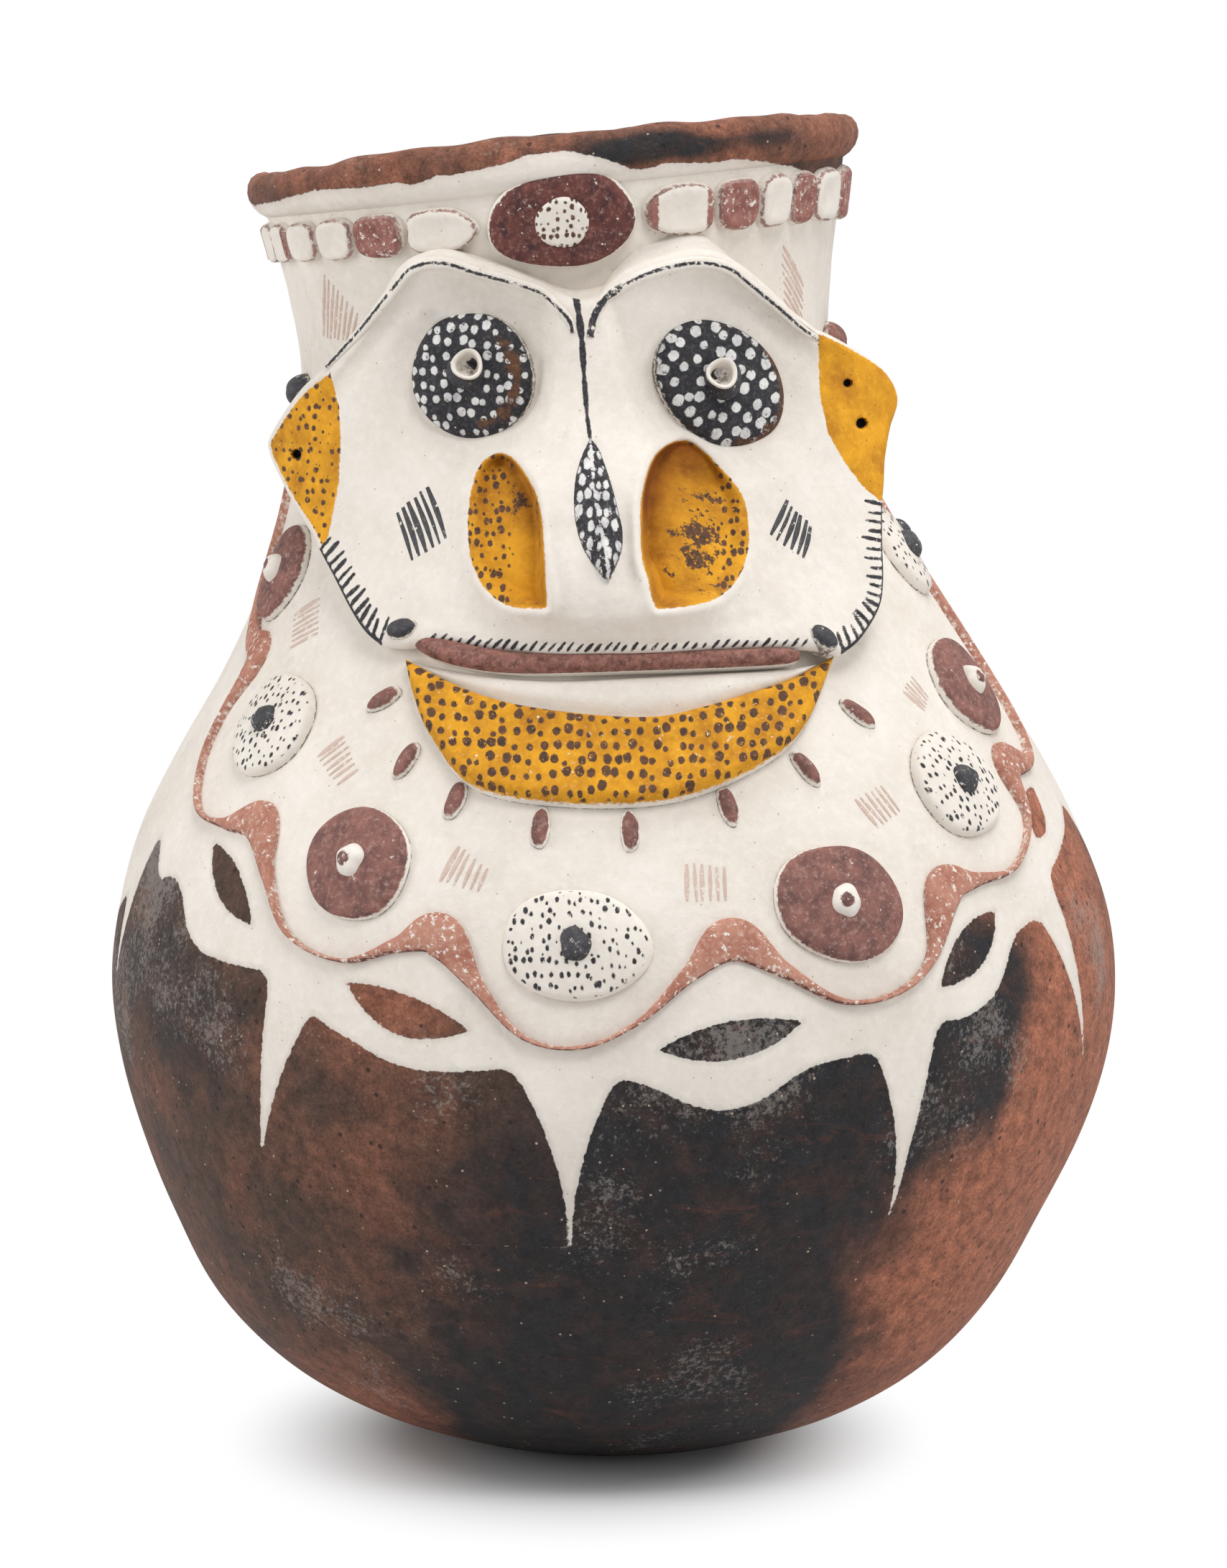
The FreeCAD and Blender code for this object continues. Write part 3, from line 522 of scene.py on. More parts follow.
# Fire clouds: angle, height, half extents in millimetres, strength
clouds = {
    "smoke": (
        (-8, 110, 75, 75, 1.0), (8, 190, 70, 45, 1.0), (21, 190, 68, 58, 1.0), (36, 235, 45, 45, 1.1),
        (14, 60, 85, 45, 1.1), (0, 30, 80, 30, 1.1), (45, 240, 26, 48, 0.75), (-64, 262, 60, 60, 0.42),
        (-80, 300, 50, 60, 0.45), (14, 245, 60, 25, 0.9), (48, 280, 25, 30, 0.6), (-50, 240, 50, 40, 0.5),
        (150, 120, 120, 90, 1.0), (-140, 230, 90, 70, 0.9), (110, 300, 60, 50, 0.7), (0, 0, 60, 20, 0.8),
        (20, 106, 54, 38, 0.8),
    ),
    # Pale ash flecks; the strongest spot, at -79 on the left edge, is a painted sheen where light glances off
    # the clay
    "ashAndSheen": (
        (-79, 300, 56, 62, 1.7), (-68, 250, 44, 50, 0.8), (22, 232, 50, 36, 0.4), (44, 258, 26, 34, 0.75),
        (-30, 120, 60, 50, 0.2), (60, 170, 60, 50, 0.25), (150, 250, 90, 50, 0.65), (-150, 220, 80, 60, 0.5),
    ),
    "warmth": (
        (60, 243, 60, 110, 1.0), (52, 140, 80, 70, 0.95), (52, 50, 90, 50, 0.95), (68, 330, 60, 60, 1.0),
        (-50, 30, 60, 28, 1.0), (-26, 153, 40, 40, 0.25), (-35, 185, 60, 50, 0.2), (-25, 260, 40, 22, 0.8),
        (80, 180, 90, 110, 0.9), (-110, 120, 110, 80, 0.8), (180, 240, 110, 60, 0.7), (-160, 60, 90, 50, 0.8),
    ),
}


def cloudCover(spots, angle, height):
    radius = profileAt(height)[0]
    cover = np.zeros(np.shape(angle))
    for middle, level, wide, tall, strength in spots:
        aside = ((angle - middle + 180) % 360 - 180) * radius * math.pi / 180
        cover = cover + strength * np.exp(-((aside / wide) ** 2 + ((height - level) / tall) ** 2))
    return np.clip(cover, 0, 1.2)


# The wall, raised in five stages, and the lip
stages = {
    "around": 640,
    "ringStep": 2.6,
    "innerEvery": 7,  # how many of the inner face's samples make one ring
    "floorStep": 6.0,
    "tops": (
        ("base_bowl", 0.093, "fired_clay"),
        ("lower_wall", 0.255, "fired_clay"),
        ("belly_wall", 0.463, "fired_clay"),
        ("shoulder_wall", 0.741, "white_slip"),
        ("neck_wall", 1.0, "white_slip"),
    ),
}


def stageSection(low, high):
    # Outer face up, inner face down. The clay is thicker over the base
    fine = np.linspace(low, high, 400)
    run = np.concatenate([[0], np.cumsum(np.hypot(np.diff(profileAt(fine)[0]), np.diff(fine)))])
    levels = np.interp(np.linspace(0, run[-1], int(run[-1] / stages["ringStep"])), run, fine)
    outer = [(float(profileAt(level)[0]), float(level)) for level in levels]
    inside = []
    for level in np.linspace(0, jar["seatHeight"], 400):
        lifted = level + jar["floor"] * max(0.0, 1 - level / jar["floorFade"])
        if low <= lifted <= high:
            inside.append((float(profileAt(level)[0]) - jar["wall"], float(lifted)))
    inner = inside[::-1][::stages["innerEvery"]]
    if inner[-1] != inside[0]:
        inner.append(inside[0])
    if low == 0:
        base = np.arange(stages["floorStep"], outer[0][0] - 1, stages["floorStep"])
        outer = [(0.0, 0.0)] + [(float(radius), 0.0) for radius in base] + outer
        inner.append((0.0, inner[-1][1]))
    return outer + inner


def slumped(points):
    # From the upright spun form to the leaning jar, with its lumps
    radius = np.hypot(points[:, 0], points[:, 1])
    angle = np.degrees(np.arctan2(points[:, 0], -points[:, 1]))
    height = np.clip(points[:, 2], 0, jar["seatHeight"])
    true = profileAt(height)[0]
    outside = radius > true - jar["wall"] / 2
    inward = (true - radius) + np.where(outside, lumps(angle, height), 0)
    shaped = wallSkin(angle, height, inward)
    shaped[:, 2] += points[:, 2] - height
    return shaped, angle, height, outside


low = 0.0
for name, topShare, slotName in stages["tops"]:
    high = jar["seatHeight"] * topShare
    stage = turnedPiece(name + "_clay", stageSection(low, high), stages["around"], low > 0)
    points, angle, height, outside = slumped(getPoints(stage))
    setPoints(stage, points)
    hemDepth = np.minimum(slipDepth(angle, height), throughRows(hem["rim"], angle) - points[:, 2])
    shares = {name: cloudCover(spots, angle, height) for name, spots in clouds.items()}
    keepOnVertices(stage, slip=np.where(outside, hemDepth, -9), **shares)
    finishPiece(stage, [name], wallMaterial)
    low = high
print("wall raised")

lip = {
    "height": 23.5,
    "bulge": 8.5,
    "waveUp": 5.0,
    # sooted low on the front, and in passing elsewhere, as the clouds are given
    "sooted": ((15, 654, 34, 7, 1.1), (36, 653, 50, 5, 0.8), (-70, 646, 60, 12, 0.4), (170, 652, 120, 14, 0.8)),
    "outline": (
        (0.0, 0.0), (0.42, 0.10), (0.78, 0.26), (0.96, 0.44), (1.0, 0.58), (0.90, 0.76), (0.66, 0.90),
        (0.30, 0.98), (-0.10, 1.0), (-0.50, 0.96), (-0.90, 0.86), (-1.20, 0.70), (-1.33, 0.50),
        (-1.25, 0.22), (-1.18, 0.0),
    ),
}


def raiseLip():
    outer = float(profileAt(jar["seatHeight"])[0])
    section = [(outer + lip["bulge"] * out, lip["height"] * up) for out, up in lip["outline"]]
    piece = spunPiece("rim_lip_clay", section, stages["around"], True)
    selectOnly(piece)
    points = getPoints(piece)
    angle = np.degrees(np.arctan2(points[:, 0], -points[:, 1]))
    turn = np.radians(angle)
    share = points[:, 2] / lip["height"]
    # Squeezed between finger and thumb on its way round
    squeeze = 1.0 * np.sin(9 * turn + 1) + 0.8 * np.sin(17 * turn) + 0.6 * np.sin(29 * turn + 2)
    dip = 1.5 + 0.6 * np.sin(5 * turn + 0.7) + 0.5 * np.sin(13 * turn) + 0.5 * np.sin(23 * turn + 2)
    radius = np.hypot(points[:, 0], points[:, 1])
    shrink = lumps(angle, np.full(len(angle), 640.0)) * (1 - share) + np.clip(1.2 - squeeze, 0.2, 3) * share
    radius = radius - shrink * np.where(radius > outer - 3, 1, 0.2)
    level = points[:, 2] - dip * share + lip["waveUp"] * share * np.cos(turn) ** 2
    tilt = math.radians(jar["rimTilt"])
    aside = radius * np.sin(turn)
    shaped = np.stack([
        -jar["slump"] + aside * math.cos(tilt) - level * math.sin(tilt),
        -radius * np.cos(turn),
        jar["seatHeight"] + aside * math.sin(tilt) + level * math.cos(tilt),
    ], -1)
    setPoints(piece, shaped)
    inside = radius < outer - 4
    depth = throughRows(hem["rim"], angle) - shaped[:, 2]
    soot = cloudCover(lip["sooted"], angle, 640 + points[:, 2])
    keepOnVertices(piece, slip=np.where(inside, -9, depth), smoke=soot, warmth=0.5)
    return finishPiece(piece, ["rim_lip"], wallMaterial)


raiseLip()
print("lip set on")

# More ways of shaping clay
def smoothLine(rows, count, reach=(1.0, 1.0)):
    # Evenly spaced points on a smooth curve through the rows. Reach turns their first two values into mm
    rows = np.array(rows, float)
    padded = np.vstack([2 * rows[0] - rows[1], rows, 2 * rows[-1] - rows[-2]])
    part = np.linspace(0, 1, 24, endpoint=False)[:, None]
    spans = []
    for a, b, c, d in zip(padded, padded[1:], padded[2:], padded[3:]):
        cubic = 3 * (b - c) + d - a
        square = 2 * a - 5 * b + 4 * c - d
        spans.append(b + 0.5 * part * (c - a + part * (square + part * cubic)))
    line = np.vstack(spans + [rows[-1:]])
    steps = np.diff(line[:, :2], axis=0) * np.array(reach)
    run = np.concatenate([[0], np.cumsum(np.linalg.norm(steps, axis=1))])
    even = np.linspace(0, run[-1], count)
    return np.stack([np.interp(even, run, column) for column in line.T], -1)


def insideOf(x, z, outline):
    # Signed distance to a closed outline, positive inside
    near = np.full(np.shape(x), 1e6)
    inside = np.zeros(np.shape(x), bool)
    for (ax, az), (bx, bz) in zip(outline, np.roll(outline, -1, 0)):
        dx, dz = bx - ax, bz - az
        if dx == 0 and dz == 0:
            continue
        part = np.clip(((x - ax) * dx + (z - az) * dz) / (dx * dx + dz * dz), 0, 1)
        near = np.minimum(near, np.hypot(x - ax - part * dx, z - az - part * dz))
        if dz != 0:
            inside ^= ((az > z) != (bz > z)) & (x < ax + (z - az) * dx / dz)
    return np.where(inside, near, -near)


def strokeDepth(x, z, strokes):
    # Brush strokes, fullest in the middle: start, end and half width
    depth = np.full(np.shape(x), -99.0)
    for ax, az, bx, bz, half in strokes:
        dx, dz = bx - ax, bz - az
        part = np.clip(((x - ax) * dx + (z - az) * dz) / (dx * dx + dz * dz), 0, 1)
        width = half * (1 - 0.35 * (2 * part - 1) ** 2)
        depth = np.maximum(depth, width - np.hypot(x - ax - part * dx, z - az - part * dz))
    return depth


def softEdge(distance, radius):
    # Height share of a rounded edge at a distance in from it
    return np.sqrt(np.clip(1 - (1 - np.clip(distance / radius, 0, 1)) ** 2, 0, 1))


def copyOf(template, name):
    piece = template.copy()
    piece.data = template.data.copy()
    piece.name = name
    bpy.context.collection.objects.link(piece)
    return piece


def joined(name, pieces):
    bpy.ops.object.select_all(action="DESELECT")
    for piece in pieces:
        piece.select_set(True)
    bpy.context.view_layer.objects.active = pieces[0]
    if len(pieces) > 1:
        bpy.ops.object.join()
    pieces[0].name = name
    return pieces[0]


def discTemplate(rings, steps):
    # A flat disc with close rings at its edge and a floor under it, to be thumbed into lumps
    shares = [math.sin(math.pi / 2 * ring / rings) for ring in range(rings + 1)]
    return spunPiece("disc", [(share, 1.0) for share in shares] + [(1.0, 0.0), (0.0, 0.0)], steps, False)


def onWall(angle, height, turn=0.0):
    # Where a lump's own across, up and out come to lie on the jar's wall
    radius = float(profileAt(height)[0])
    slope = float(profileAt(height + 1)[0] - profileAt(height - 1)[0]) / 2
    rise = 1 / math.sqrt(1 + slope * slope)
    tilt = math.radians(turn)

    def place(across, up, out):
        sideways = across * math.cos(tilt) - up * math.sin(tilt)
        upward = across * math.sin(tilt) + up * math.cos(tilt)
        return wallAt(angle + np.degrees(sideways / radius), height + upward * rise, out)

    return place


def thumbed(name, disc, place, halfWidth, halfHeight, form, sink, power=2.0, wobble=0.025):
    # One lump of clay pressed on. form gives its height from the share of its radius and mm in from its edge
    piece = copyOf(disc, name)
    flat = getPoints(piece)
    share = np.clip(np.hypot(flat[:, 0], flat[:, 1]), 0, 1)
    turn = np.arctan2(flat[:, 1], flat[:, 0])
    reach = (np.abs(np.cos(turn)) ** power + np.abs(np.sin(turn)) ** power) ** (-1 / power)
    first, second, third = (random.uniform(0, 6.28) for wave in range(3))
    waves = np.sin(2 * turn + first) + np.sin(3 * turn + second) + 0.7 * np.sin(5 * turn + third)
    reach = reach * (1 + wobble * waves / 2)
    across = halfWidth * share * reach * np.cos(turn)
    up = halfHeight * share * reach * np.sin(turn)
    inward = (1 - share) * min(halfWidth, halfHeight) * reach
    top = flat[:, 2] > 0.5
    out = np.where(top, form(share, inward, across, up), -sink)
    setPoints(piece, place(across, up, out))
    shift = random.uniform(0, 500)
    inward = np.where(top, inward, -4)
    keepOnVertices(piece, edge=inward, foot=out, flat=np.stack([across + shift, up, out * 0], -1))
    return piece, across, up, inward


def coilPiece(name, rows, place, along, around, sunk, reach=(1.0, 1.0), flatness=0.8):
    # A strip rolled out and laid on a surface: rows of place, half width and rise
    line = smoothLine(rows, along - 1, reach)
    line = np.vstack([line[:1], line, line[-1:]])
    centre = place(line[:, 0], line[:, 1], 0.0)
    stepFirst, stepSecond = 0.5 / reach[0], 0.5 / reach[1]
    across = place(line[:, 0] + stepFirst, line[:, 1], 0.0) - place(line[:, 0] - stepFirst, line[:, 1], 0.0)
    rising = place(line[:, 0], line[:, 1] + stepSecond, 0.0) - place(line[:, 0], line[:, 1] - stepSecond, 0.0)
    normal = np.cross(across, rising)
    normal /= np.linalg.norm(normal, axis=1, keepdims=True)
    run = np.gradient(centre[1:-1], axis=0)
    run = np.vstack([run[:1], run, run[-1:]])
    side = np.cross(run, normal)
    side /= np.linalg.norm(side, axis=1, keepdims=True)
    half, rise = np.maximum(line[:, 2], 0.3), np.maximum(line[:, 3], 0.2)
    closing = np.ones(len(line))
    closing[0] = closing[-1] = 0

    def lay(aroundShare, alongShare):
        index = np.rint(alongShare * along).astype(int)
        turn = aroundShare * 2 * math.pi
        aside = half[index] * np.cos(turn) * closing[index]
        level = np.sin(turn)
        out = np.where(level > 0, rise[index] * np.abs(level) ** flatness, -sunk * np.abs(level) ** 0.5)
        out = out * closing[index]
        points = centre[index] + side[index] * aside[:, None] + normal[index] * out[:, None]
        inward = np.where(level >= -0.01, half[index] - np.abs(aside), -4)
        far = np.stack([index * 1.0, aside, out * 0], -1)
        return points, {"edge": inward, "foot": out, "flat": far, "aside": aside}

    return wrappedPiece(name, around, along, lay)


def bandPiece(name, lower, upper, columns, rows, place, form, sink):
    # A sheet of clay between two lines that share their ends, closed behind
    low = smoothLine(lower, columns + 1)
    high = smoothLine(upper, columns + 1)
    behind = 4  # rows over the back, the last of them the first again

    def lay(across, up):
        index = np.rint(across * columns).astype(int)
        step = np.rint(up * (rows + behind)).astype(int) % (rows + behind)
        front = step <= rows
        share = np.where(front, 0.5 - 0.5 * np.cos(math.pi * step / rows), 1 - (step - rows) / (behind - 1))
        x = low[index, 0] + (high[index, 0] - low[index, 0]) * share
        z = low[index, 1] + (high[index, 1] - low[index, 1]) * share
        inward = insideOf(x, z, np.vstack([low, high[::-1]]))
        out = np.where(front, form(x, z, np.maximum(inward, 0), share), -sink)
        out = np.where((index == 0) | (index == columns), -sink, out)
        layers = {"edge": np.where(front, inward, -4), "foot": out, "flat": np.stack([x, z, x * 0], -1)}
        return place(x, z, out), layers

    return wrappedPiece(name, columns, rows + behind, lay)


def wallFront(x, z, out):
    # The wall's point that lies at x and z in the front view, lifted out
    radius, lean = profileAt(z)[:2]
    angle = np.degrees(np.arcsin(np.clip((x - lean) / radius, -0.999, 0.999)))
    return wallAt(angle, z, out)


# Paints: earth pigments in slip, brushed thinly on the white, rubbed through where the form is high
pigments = {
    # deep, body and thin colour, then the size of its patches and brush marks in mm
    "ochre": ("#B07416", "#DA9A1E", "#E8B033", 20.0, 3.0),
    "red": ("#604340", "#865C53", "#B7968C", 9.0, 2.6),
    "padRed": ("#7A4D45", "#94645B", "#C29E94", 8.0, 3.2),
    "lipRed": ("#5A3A34", "#8C5F54", "#B58E84", 5.0, 1.8),
    "darkRed": ("#41282A", "#653A34", "#A9796F", 8.0, 2.6),
    "wash": ("#98604F", "#B27F6C", "#D2AFA1", 16.0, 3.0),
    "black": ("#222125", "#302F32", "#666468", 9.0, 1.8),
    "umber": ("#3D2B24", "#5A3D2D", "#8A6440", 9.0, 1.8),
    "chalk": ("#B4B3B4", "#DAD8D5", "#ECEAE7", 9.0, 1.6),
    "outline": ("#6F5350", "#A38179", "#CDB6AE", 7.0, 2.0),
    "footGrey": ("#5E5854", "#8A837D", "#B5AEA7", 6.0, 1.6),
}


def pigmentTone(tree, place, name):
    deep, body, thin, patchSize, brushSize = pigments[name]
    tone = colourOf(deep)
    for size, rough, low, high, most, colour in (
        (patchSize, 0.62, 0.34, 0.6, 1, body),
        (brushSize, 0.7, 0.5, 0.78, 0.75, thin),
    ):
        noise = addNode(tree, "TexNoise", {"Vector": place, "Scale": 1 / size, "Detail": 5, "Roughness": rough})
        share = addNode(tree, "MapRange", (noise, low, high, 0, most))
        tone = addNode(tree, "Mix", {0: share, 6: tone, 7: colourOf(colour)}, 2, data_type="RGBA")
    return tone


def layPaint(tree, place, under, depth, name, worn=0.68, soft=0.3, wander=0.45):
    # Paint over what lies under it, wherever depth (mm inside its edge) is above nothing
    inside = addNode(tree, "Math", (depth, edgeWobble(tree, place, wander, 2.2)), operation="ADD")
    cover = addNode(tree, "MapRange", (inside, -soft, soft, 0, 1), interpolation_type="SMOOTHSTEP")
    rub = addNode(tree, "TexNoise", {"Vector": place, "Scale": 1 / 3.4, "Detail": 7, "Roughness": 0.72})
    kept = addNode(tree, "MapRange", (rub, worn, worn - 0.05, 0, 1))
    cover = addNode(tree, "Math", (cover, kept), operation="MULTIPLY")
    return addNode(tree, "Mix", {0: cover, 6: under, 7: pigmentTone(tree, place, name)}, 2, data_type="RGBA")


def dotDepth(tree, spacing, smallest, largest, stretch, jitter):
    # Brush dabs on the piece's own flat coordinates: mm inside the nearest dab
    flat = addNode(tree, "Attribute", {}, "Vector", attribute_name="flat")
    laid = addNode(tree, "Mapping", {"Vector": flat, "Scale": (1, 1 / stretch, 1)})
    cells = addNode(
        tree, "TexVoronoi", {"Vector": laid, "Scale": 1 / spacing, "Randomness": jitter}, "Distance",
        voronoi_dimensions="2D",
    )
    size = addNode(tree, "MapRange", (cells.node.outputs["Color"], 0.2, 0.8, smallest, largest))
    return addNode(tree, "Math", (cells, -spacing, size), operation="MULTIPLY_ADD")


def paintedMaterial(name, pigment, worn=0.68, specular=0.3, roughness=0.8, stain=None):
    # White slip with one paint where the piece's paint attribute says, over a stain or over grey at its foot
    material, tree, place = startMaterial(name)
    coat, height = whiteSlip(tree, place)
    if stain:
        under = addNode(tree, "Attribute", {}, "Fac", attribute_name="stain")
        coat = layPaint(tree, place, coat, under, stain, 0.62, 0.5, 0.8)
    else:
        coat = greyAtFoot(tree, place, coat)
    paint = addNode(tree, "Attribute", {}, "Fac", attribute_name="paint")
    coat = layPaint(tree, place, coat, paint, pigment, worn)
    endMaterial(tree, coat, roughness, height, specular)
    return material


def greyAtFoot(tree, place, colour):
    # Grey where a lump meets what carries it, fading as the lump rises; in the eye tubes this grey is painted
    # shade
    foot = addNode(tree, "Attribute", {}, "Fac", attribute_name="foot")
    rise = addNode(tree, "Math", (0.7, foot), operation="SUBTRACT")
    return layPaint(tree, place, colour, rise, "footGrey", 0.56, 0.35, 0.5)


def dottedMaterial(
    name, ground, dab, spacing, smallest, largest, stretch, worn, patchPigment=None, jitter=0.75,
):
    # A ground with brush dabs, sized and spaced in mm, and worn patches where asked
    material, tree, place = startMaterial(name)
    coat, height = whiteSlip(tree, place)
    coat = greyAtFoot(tree, place, coat)
    paint = addNode(tree, "Attribute", {}, "Fac", attribute_name="paint")
    if ground:
        coat = layPaint(tree, place, coat, paint, ground, worn)
    within = addNode(tree, "Math", (paint, 0.5), operation="SUBTRACT")
    dabs = dotDepth(tree, spacing, smallest, largest, stretch, jitter)
    dabs = addNode(tree, "Math", (dabs, within), operation="MINIMUM")
    coat = layPaint(tree, place, coat, dabs, dab, 0.64)
    if patchPigment:
        patches = addNode(tree, "TexNoise", {"Vector": place, "Scale": 1 / 8, "Detail": 8, "Roughness": 0.75})
        rubbed = addNode(tree, "Attribute", {}, "Fac", attribute_name="rubbed")
        depth = addNode(tree, "Math", (patches, 34.0, -21.5), operation="MULTIPLY_ADD")
        depth = addNode(tree, "Math", (rubbed, 7.0, depth), operation="MULTIPLY_ADD")
        depth = addNode(tree, "Math", (depth, paint), operation="MINIMUM")
        coat = layPaint(tree, place, coat, depth, patchPigment, 0.62, 0.8)
    endMaterial(tree, coat, slip["roughness"], height, 0.3)
    return material


knobMaterial = paintedMaterial("knobSlip", "black", 0.64, 0.45, 0.6, "darkRed")
padMaterial = paintedMaterial("thinRedSlip", "outline", 0.58, stain="padRed")
# The ribbon's wash, with a painted shadow line along its lower edge
ribbonMaterial = paintedMaterial("redWashShadedBelow", "darkRed", 0.56, stain="wash")
redMaterial = paintedMaterial("redSlip", "red")
lipMaterial = paintedMaterial("lipRedSlip", "lipRed", 0.74)
darkRedMaterial = paintedMaterial("darkRedSlip", "darkRed", 0.66)
blackMaterial = paintedMaterial("blackSlip", "black", 0.66, 0.45, 0.6)
wornBlackMaterial = paintedMaterial("wornBlackSlip", "black", 0.59, 0.35, 0.7)
whiteMaterial = paintedMaterial("whiteSlipCoat", "chalk", 0.5)
dottedWhiteMaterial = dottedMaterial("blackDabsOnSlip", None, "black", 4.0, 0.5, 1.15, 1.45, 0.7, None, 0.85)
fineDottedMaterial = dottedMaterial("fineDabsOnSlip", None, "umber", 3.4, 0.5, 1.1, 1.3, 0.7)
crescentMaterial = dottedMaterial("brownDabsOnOchre", "ochre", "umber", 5.8, 1.25, 2.25, 1.1, 0.68, None, 0.6)
eyeMaterials = {
    "left": dottedMaterial("chalkDabsOnLeftEye", "black", "chalk", 6.3, 1.35, 2.2, 1.1, 0.72, "umber", 0.6),
    "right": dottedMaterial("chalkDabsOnRightEye", "black", "chalk", 7.6, 1.9, 2.8, 1.1, 0.72, "umber", 0.55),
}
ridgeMaterial = dottedMaterial("chalkDabsOnRidge", "black", "chalk", 4.3, 1.05, 1.75, 1.7, 0.66, "chalk", 0.65)
print("paints made")

# The face: one modelled slab with its nose, its scooped nostrils, its dished eyes and its ears
face = {
    "mouthHeight": 425.09,
    "rise": 189.9,
    "proud": 13.0,
    "curve": 201.1,
    "middleTop": -19.0,
    "middleDrift": 18.5,
    "columns": 300,
    "rows": 196,
    "roll": 5.0,
    "top": (
        (-140, 558), (-124, 578), (-111, 595), (-104, 606), (-95, 612), (-83, 614), (-67, 609), (-53, 605),
        (-37, 598), (-27, 593), (-16, 590), (-5, 592), (3, 600), (13, 607), (29, 612), (39, 614), (51, 613),
        (63, 606), (74, 597), (87, 585), (100, 575),
    ),
    "right": (
        (111, 426), (120, 432), (129, 444), (131.5, 456), (131.5, 474), (132, 492), (133, 502), (134, 515),
        (137, 530), (141, 542), (138, 551), (130, 559), (111, 570), (100, 575),
    ),
    "bottom": (
        (-113, 430), (-103, 430), (-94, 431.5), (-81, 433), (-64, 431), (-39, 430), (1, 430.5), (34, 431),
        (67, 431), (92, 430), (103, 428.5), (111, 426),
    ),
    "left": (
        (-113, 430), (-121, 436), (-128, 445), (-137, 460), (-144, 471), (-149, 480), (-158, 492), (-166, 505),
        (-172, 517), (-171, 524), (-156, 545), (-140, 558),
    ),
    # eye dishes: middle, flat radius, outer radius, depth
    "dishes": ((-68, 557, 27, 58, 8.5), (51, 554, 27, 58, 8.5)),
    "leftEar": ((-141, 560), (-136, 540), (-135, 525), (-136, 503), (-141, 478), (-145, 470),
                (-190, 470), (-190, 572)),
    "rightEar": ((101, 577), (102, 547), (106, 528), (114, 514), (123, 502), (132, 494), (180, 494),
                 (180, 590)),
    "holes": ((-158, 516, 2.6), (116, 552, 2.3), (123, 532, 2.9)),
}
nose = {
    "halfWidth": 77.0,
    "proud": 32.0,
    # height share, half width share, share of how proud
    "rows": (
        (0.00, 0.72, 0.00), (0.05, 0.82, 0.30), (0.11, 0.94, 0.75), (0.20, 1.00, 1.00), (0.32, 0.97, 0.98),
        (0.44, 0.80, 0.86), (0.54, 0.52, 0.62), (0.64, 0.34, 0.40), (0.78, 0.25, 0.22), (0.90, 0.20, 0.05),
        (0.97, 0.18, 0.00),
    ),
    # outline, outer side, inner side, depth at the outer and inner side
    "cups": (
        (((-53.3, 519.8), (-57.7, 519.5), (-64.3, 515.1), (-68, 507.7), (-70.6, 493), (-70.1, 475.3),
          (-66.7, 463.4), (-60.1, 454.6), (-49.8, 448.8), (-38, 448.6), (-33.2, 448.8), (-31.9, 450.2),
          (-32, 455), (-33.5, 479.7), (-34.8, 493), (-37.6, 503.0), (-42.3, 511), (-47.6, 517)),
         -71, -31, 2.5, 25.0),
        (((36.5, 525.4), (28.4, 525.1), (21.1, 521), (16.7, 513.6), (13.4, 500.4), (13, 487.1),
          (13.7, 472.3), (16.7, 462), (18, 455), (20.2, 449.8), (22, 448.6), (33, 449.2), (47.7, 451.6),
          (56.6, 456.8), (62.5, 464.9), (65.7, 475.3), (65.6, 488), (63.4, 498), (58.2, 506.3),
          (51.2, 513.5), (44, 520.5)),
         66, 13, 2.5, 27.0),
    ),
}


def closedCurve(points, count):
    # A smooth closed outline through the points
    ring = list(points) + list(points[:3])
    line = smoothLine(ring, count * 2)
    start = np.argmin(np.hypot(*(line[: count // 2] - np.array(points[1])).T))
    end = len(line) - 1 - np.argmin(np.hypot(*(line[::-1][: count // 2] - np.array(points[1])).T))
    return line[start:end]


cupOutlines = [closedCurve(cup[0], 110) for cup in nose["cups"]]
noseRows = smoothLine(nose["rows"], 240)


def faceMiddle(z):
    return face["middleTop"] + face["middleDrift"] * (1 - (z - face["mouthHeight"]) / face["rise"])


def faceBase(x, z):
    across = np.clip(x - faceMiddle(z), -185, 185)
    bow = np.sqrt(face["curve"] ** 2 - across * across)
    return -(profileAt(z)[0] + face["proud"]) + face["curve"] - bow, across / bow


